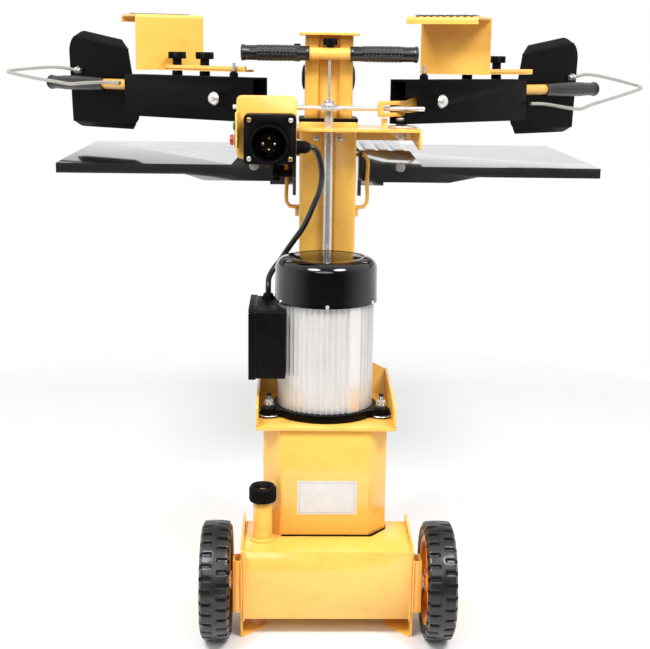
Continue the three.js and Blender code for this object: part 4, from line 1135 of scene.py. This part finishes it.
BOWS = {
    "right": [
        (308, -25, 861.7), (343, -26, 861), (400, -42, 853), (430, -45, 851), (470, -39, 858),
        (540, -29, 868), (650, -11, 884), (674, -4, 888), (678, 3, 891), (660, 8, 895),
        (604, 11, 905), (540, 14, 914), (510, 15, 915), (485, 16.5, 911), (468, 17.8, 909),
    ],
    "left": [
        (308, -25, 890.4), (343, -26, 891), (395, -41, 888), (422, -44, 886), (465, -39, 889),
        (540, -28, 894), (632, -11, 902), (652, -4, 904), (656, 3, 906), (640, 8, 908),
        (595, 11, 912), (545, 14, 915), (510, 15, 915), (480, 16.5, 912), (460, 17.8, 910),
    ],
}


def make_bow(side):
    """The bent wire round the grip, with the nuts that hold its far end on the guard."""
    path = [ARM[side] @ (point * MM) for point in smooth_path(BOWS[side], 8)]
    piece(f"hand_bow_wire_{side}", tube(path, lambda index: 3.25, 18), WIRE, f"arm_{side}",
          replaces=[f"hand_bow_{side}"])
    towards = (path[-1] - path[-6]).normalized()
    nuts = joined(hexagon(10, 5), lifted(washer(7.5, 1.2), 5.2), lifted(hexagon(10, 5), 8.4))
    place = facing(path[-1] - towards * 0.014, towards)
    piece(f"hand_bow_nuts_{side}", moved(nuts, place), ZINC, f"arm_{side}")


def guard_flange(side, start, end, back, rise, chamfer):
    """A strip bent off the guard's edge, slanting away from the hand: cut off inside, round outside."""
    rounding, steps = 12, 40
    sign = math.copysign(1, rise)
    rings = []
    for step in range(steps + 1):
        part = step / steps
        s, z = (first + (last - first) * part for first, last in zip(start, end))
        cut = min(1.0, 0.08 + 0.92 * (s - start[0]) / chamfer)
        outside = max(0.0, (s - end[0] + rounding) / rounding)
        reach = min(cut, math.sqrt(max(0.02, 1 - outside ** 2)))
        section = [
            (21.3, z - sign), (21.5, z + sign * 1.0), (22.4, z + sign * 2.2),
            (22.4 + back * reach, z + rise * reach),
            (23.9 + back * reach, z + (rise - sign * 2.3) * reach),
            (24.9, z - sign * 0.2), (24.3, z - sign),
        ]
        rings.append([at_arm(side, s, n, height) for n, height in section])
    return skin(rings)


def make_guard(side):
    """The hand guard: a flat plate, cut back at its inner top corner, with a bent strip above and below."""
    place = ARM[side] @ Matrix.Translation((0, 21.3 * MM, 0)) @ Matrix.Rotation(math.pi / 2, 4, "X")
    front = rounded([
        [334, 951, 2], [485, 975, 7], [496, 956, 12], [489, 812, 2], [318, 812, 6], [307, 824, 6],
    ])
    tab = rounded([[284, 842], [284, 896], [330, 896], [330, 842]])
    shapes = [
        prism(front, 0, -3, place),
        prism(tab, -0.2, -2.8, place),
        guard_flange(side, (334, 951), (483, 974.7), 19, 14, 34),
        guard_flange(side, (317, 813), (489, 813), 15, -12, 20),
    ]
    piece(f"hand_guard_plate_{side}", joined(*shapes), BLACK, f"arm_{side}", edge=0.5,
          replaces=[f"hand_guard_{side}"])
    head = joined(washer(7.2, 1.2), lifted(screw_head(5.6, 3.2, "hex"), 1.2))
    for index, z in enumerate((850, 884)):
        screw = seated(head, at_arm(side, 296, 24.3, z), heading(side, 0, 1))
        piece(f"guard_screw_{side}_{index}", screw, ZINC, f"arm_{side}")


CLAW_HALF_TURN = 330
CLAW_BASE, CLAW_TOP, CLAW_WIDTH, CLAW_SHEET = 916, 1015, 132, 4
CLAW_KNOBS = {"left": (118, 185), "right": (93, 170)}


def fold_profile(width, height, lip, sheet, bend):
    """Side view of the claw's folded sheet: upright, top flange and lip."""
    inner = bend - sheet
    return rounded([
        [-sheet, 0], [0, 0], [0, height - sheet, inner], [width - sheet, height - sheet, inner],
        [width - sheet, height - lip], [width, height - lip], [width, height, bend],
        [-sheet, height, bend],
    ], 8)


def claw_place(side):
    """The claw's own frame: the arm's, which the right claw has turned half round."""
    if side == "left":
        return ARM[side]
    return ARM[side] @ Matrix.Translation((CLAW_HALF_TURN * MM, 0, 0)) @ Matrix.Rotation(math.pi, 4, "Z")


def make_claw(side):
    """The log claw: a base strip with a lip, a folded upright, and a toothed blade with its rivets."""
    body = f"log_claw_{side}"
    place = claw_place(side)
    head = place @ Matrix.Translation((214 * MM, 10.5 * MM, 0)) @ Matrix.Rotation(math.radians(-66), 4, "Z")
    # A side view lies in y and z, and its width runs along x.
    side_view = Matrix(((0, 0, 1, 0), (1, 0, 0, 0), (0, 1, 0, 0), (0, 0, 0, 1)))
    base = Matrix.Translation((0, 0, CLAW_BASE * MM))
    profile = fold_profile(70, CLAW_TOP - CLAW_BASE, 13, CLAW_SHEET, 7)
    upright = prism(profile, -CLAW_WIDTH / 2, CLAW_WIDTH / 2, head @ base @ side_view)
    outline = rounded([[15, -11, 3], [218, -11], [206, 20], [22, 20, 8], [15, 13, 4]])
    strip = prism(outline, CLAW_BASE, CLAW_BASE + CLAW_SHEET, place)
    near = -11 if side == "left" else 16
    far = near + CLAW_SHEET
    lip = rounded([[near, 0, 1.5], [far, 0, 1.5], [far, 9.5, 1.5], [near, 9.5, 1.5]], 5)
    lip_bar = prism(lip, 15, 205, place @ base @ side_view)
    piece(f"claw_sheet_{side}", joined(upright, strip, lip_bar), YELLOW, body, edge=0.5,
          replaces=[f"claw_{side}"])

    left, right, root, shoulder, valley, tip = -60, 53, 46, 61, 63, 72.0
    teeth = [[left, root], [left, shoulder]]
    for tooth in range(9):
        at = left + tooth * 12.5
        teeth += [[at + 1.5, valley], [at + 6.2, tip], [at + 10.8, valley]]
    teeth += [[right, shoulder], [right, root]]
    blade = prism(rounded(teeth[::-1]), CLAW_TOP + 0.1, CLAW_TOP + 2.8, head)
    piece(f"claw_blade_{side}", blade, STEEL, body, edge=0.3)
    for index, x in enumerate((-46, 0, 40)):
        spot = head @ Matrix.Translation((x * MM, 53 * MM, (CLAW_TOP + 2.7) * MM))
        piece(f"claw_rivet_{side}_{index}", moved(screw_head(4.2, 2.0, None), spot), ZINC, body)


def make_claw_knobs(side):
    """Each star knob of the claw, with a washer under it and a spacer below the strip."""
    place = claw_place(side)
    body = f"log_claw_{side}"
    knob = lifted(star_knob(16.4, 12.5, 8.2, 15.0), 1.4)
    spacer = turned([(0, 0), (9.2, 0), (9.4, 0.5), (9.4, 7.6), (8.8, 8.2), (0, 8.2)], 40)
    riders = {"inner": (body, []), "outer": (f"claw_clamp_{side}", [f"claw_knob_{side}"])}
    for s, (name, (rider, replaced)) in zip(CLAW_KNOBS[side], riders.items()):
        spot = place @ Matrix.Translation((s * MM, 0, (CLAW_BASE + 4.2) * MM))
        piece(f"claw_washer_{name}_{side}", moved(washer(10.5, 1.6), spot), ZINC, body)
        piece(f"claw_star_knob_{name}_{side}", moved(knob, spot), PLASTIC, rider, replaces=replaced)
        under = place @ Matrix.Translation((s * MM, 0, 907.4 * MM))
        piece(f"claw_spacer_{name}_{side}", moved(spacer, under), PLASTIC, body)


# ---------------------------------------------------------------- table
def make_table_details():
    """Raised tread pattern round the wedge's notch, and the bolts in the rear apron."""
    low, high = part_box("tread_plate")
    left, right, rear, front = low.x / MM, high.x / MM, low.y / MM, high.y / MM
    sheet_top = high.z / MM - 1.6
    notch_half, notch_end, bare = 63, 66, 74
    shapes = [prism([
        (left, notch_end), (left, front), (right, front), (right, notch_end), (right, rear),
        (notch_half, rear), (notch_half, notch_end), (-notch_half, notch_end), (-notch_half, rear),
        (left, rear),
    ], low.z / MM, sheet_top)]
    pitch_x, pitch_y = 26.0, 15.0
    for row in range(int((high.y - low.y) / MM / pitch_y)):
        for column in range(int((high.x - low.x) / MM / pitch_x)):
            slant = 1 if (row + column) % 2 else -1
            x = left + (column + 0.5) * pitch_x + 5
            y = rear + (row + 0.5) * pitch_y
            if abs(x) < bare and y < bare:
                continue
            shapes.append(tread_mark(x, y, sheet_top, slant))
    piece("tread_pattern", joined(*shapes), TREAD, "table", replaces=["tread_plate"])

    bolt_x, bolt_z, apron_front = 0.131, 0.752, 0.010
    apron_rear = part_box("table_top")[0].y
    bolt = joined(washer(8.6, 1.6), lifted(hexagon(13, 5.6), 1.6))
    nut = joined(washer(8.6, 1.6), lifted(hexagon(13, 6.2), 1.6), lifted(thread(4, 6), 6.5))
    for side, sign in SIDES.items():
        x = sign * bolt_x
        piece(f"apron_bolt_{side}", seated(bolt, (x, apron_rear, bolt_z), (0, -1, 0)), ZINC, "table")
        piece(f"apron_nut_{side}", seated(nut, (x, apron_front, bolt_z), (0, 1, 0)), ZINC, "table")


def tread_mark(x, y, z, slant):
    """One raised lozenge of the tread plate, rounded towards its two tips."""
    length, breadth, height = 24, 8.0, 2.2
    rings = []
    for part, lift in ((1.0, 0.0), (0.86, 0.6), (0.55, 0.95), (0.2, 1.0)):
        ring = []
        for step in range(14):
            angle = 2 * math.pi * step / 14
            along = length / 2 * part * math.copysign(abs(math.cos(angle)) ** 0.9, math.cos(angle))
            across = breadth / 2 * part * math.copysign(abs(math.sin(angle)) ** 1.6, math.sin(angle))
            turn = math.radians(24) * slant
            ring.append(Vector((
                (x + along * math.cos(turn) - across * math.sin(turn)) * MM,
                (y + along * math.sin(turn) + across * math.cos(turn)) * MM,
                (z + height * lift) * MM,
            )))
        rings.append(ring)
    return skin(rings)


# ---------------------------------------------------------------- floor and light
FLOOR_RADIUS, FLOOR_Y, FLOOR_SIDES = 1.5, 0.25, 96
LAMPS = {  # name: place, target, width, height, watts
    "key": ((-1.05, -1.55, 2.55), (0, -0.15, 0.6), 1.1, 0.9, 54),
    "fill": ((1.05, -1.55, 2.55), (0, -0.15, 0.6), 1.1, 0.9, 54),
    "front": ((-0.3, -2.9, 2.1), (0, 0, 0.8), 2.2, 0.9, 22),
}


def make_stage():
    """The round white floor, the world and three soft lamps."""
    floor = bpy.data.meshes.new("floor")
    turns = [2 * math.pi * step / FLOOR_SIDES for step in range(FLOOR_SIDES)]
    rim = [(FLOOR_RADIUS * math.cos(turn), FLOOR_RADIUS * math.sin(turn) + FLOOR_Y, 0) for turn in turns]
    floor.from_pydata(rim, [], [tuple(range(FLOOR_SIDES))])
    ground = bpy.data.objects.new("floor", floor)
    pale = Finish("pale_floor", (0.90, 0.90, 0.90), 0.7)
    pale.tint((0.88, 0.88, 0.88), pale.noise(2, 2))
    floor.materials.append(pale.material)
    bpy.context.scene.collection.objects.link(ground)

    make_world()
    for name, (place, target, width, height, watts) in LAMPS.items():
        lamp = bpy.data.lights.new(name, "AREA")
        lamp.shape = "ELLIPSE"
        lamp.size, lamp.size_y, lamp.energy = width, height, watts
        holder = bpy.data.objects.new(name, lamp)
        aim = (Vector(target) - Vector(place)).to_track_quat("-Z", "Y")
        holder.matrix_world = Matrix.Translation(place) @ aim.to_matrix().to_4x4()
        bpy.context.scene.collection.objects.link(holder)


def make_world():
    """A white studio: bright behind the machine, dark round the camera, plain white where nothing stands."""
    world = bpy.data.worlds.new("studio")
    world.use_nodes = True
    nodes, links = world.node_tree.nodes, world.node_tree.links
    direction = nodes.new("ShaderNodeTexCoord").outputs["Generated"]
    axes = nodes.new("ShaderNodeSeparateXYZ")
    links.new(direction, axes.inputs["Vector"])
    depth = nodes.new("ShaderNodeMapRange")
    depth.inputs["From Min"].default_value = -0.8
    depth.inputs["From Max"].default_value = -0.1
    depth.inputs["To Min"].default_value = 0.08
    depth.inputs["To Max"].default_value = 1.0
    links.new(axes.outputs["Y"], depth.inputs["Value"])
    seen = nodes.new("ShaderNodeLightPath").outputs["Is Camera Ray"]
    brightness = nodes.new("ShaderNodeMix")
    links.new(seen, brightness.inputs[0])
    links.new(depth.outputs["Result"], brightness.inputs[2])
    brightness.inputs[3].default_value = 1.0
    background = nodes["Background"]
    background.inputs["Color"].default_value = (1, 1, 1, 1)
    links.new(brightness.outputs[0], background.inputs["Strength"])
    bpy.context.scene.world = world


# ---------------------------------------------------------------- build
make_lead()
for wheel in SIDES:
    make_tyre(wheel)
    make_rim(wheel)
make_filler_cap()
make_tank_welds()
make_pedestal_details()
make_motor()
make_motor_mounts()
make_terminal_details()
make_switch_screws()
make_inlet()
make_gland()
make_buttons()
make_column_details()
make_handlebar_details()
make_hand_knobs()
make_valve_details()
for arm_side in SIDES:
    make_arm(arm_side)
make_table_details()
make_stage()
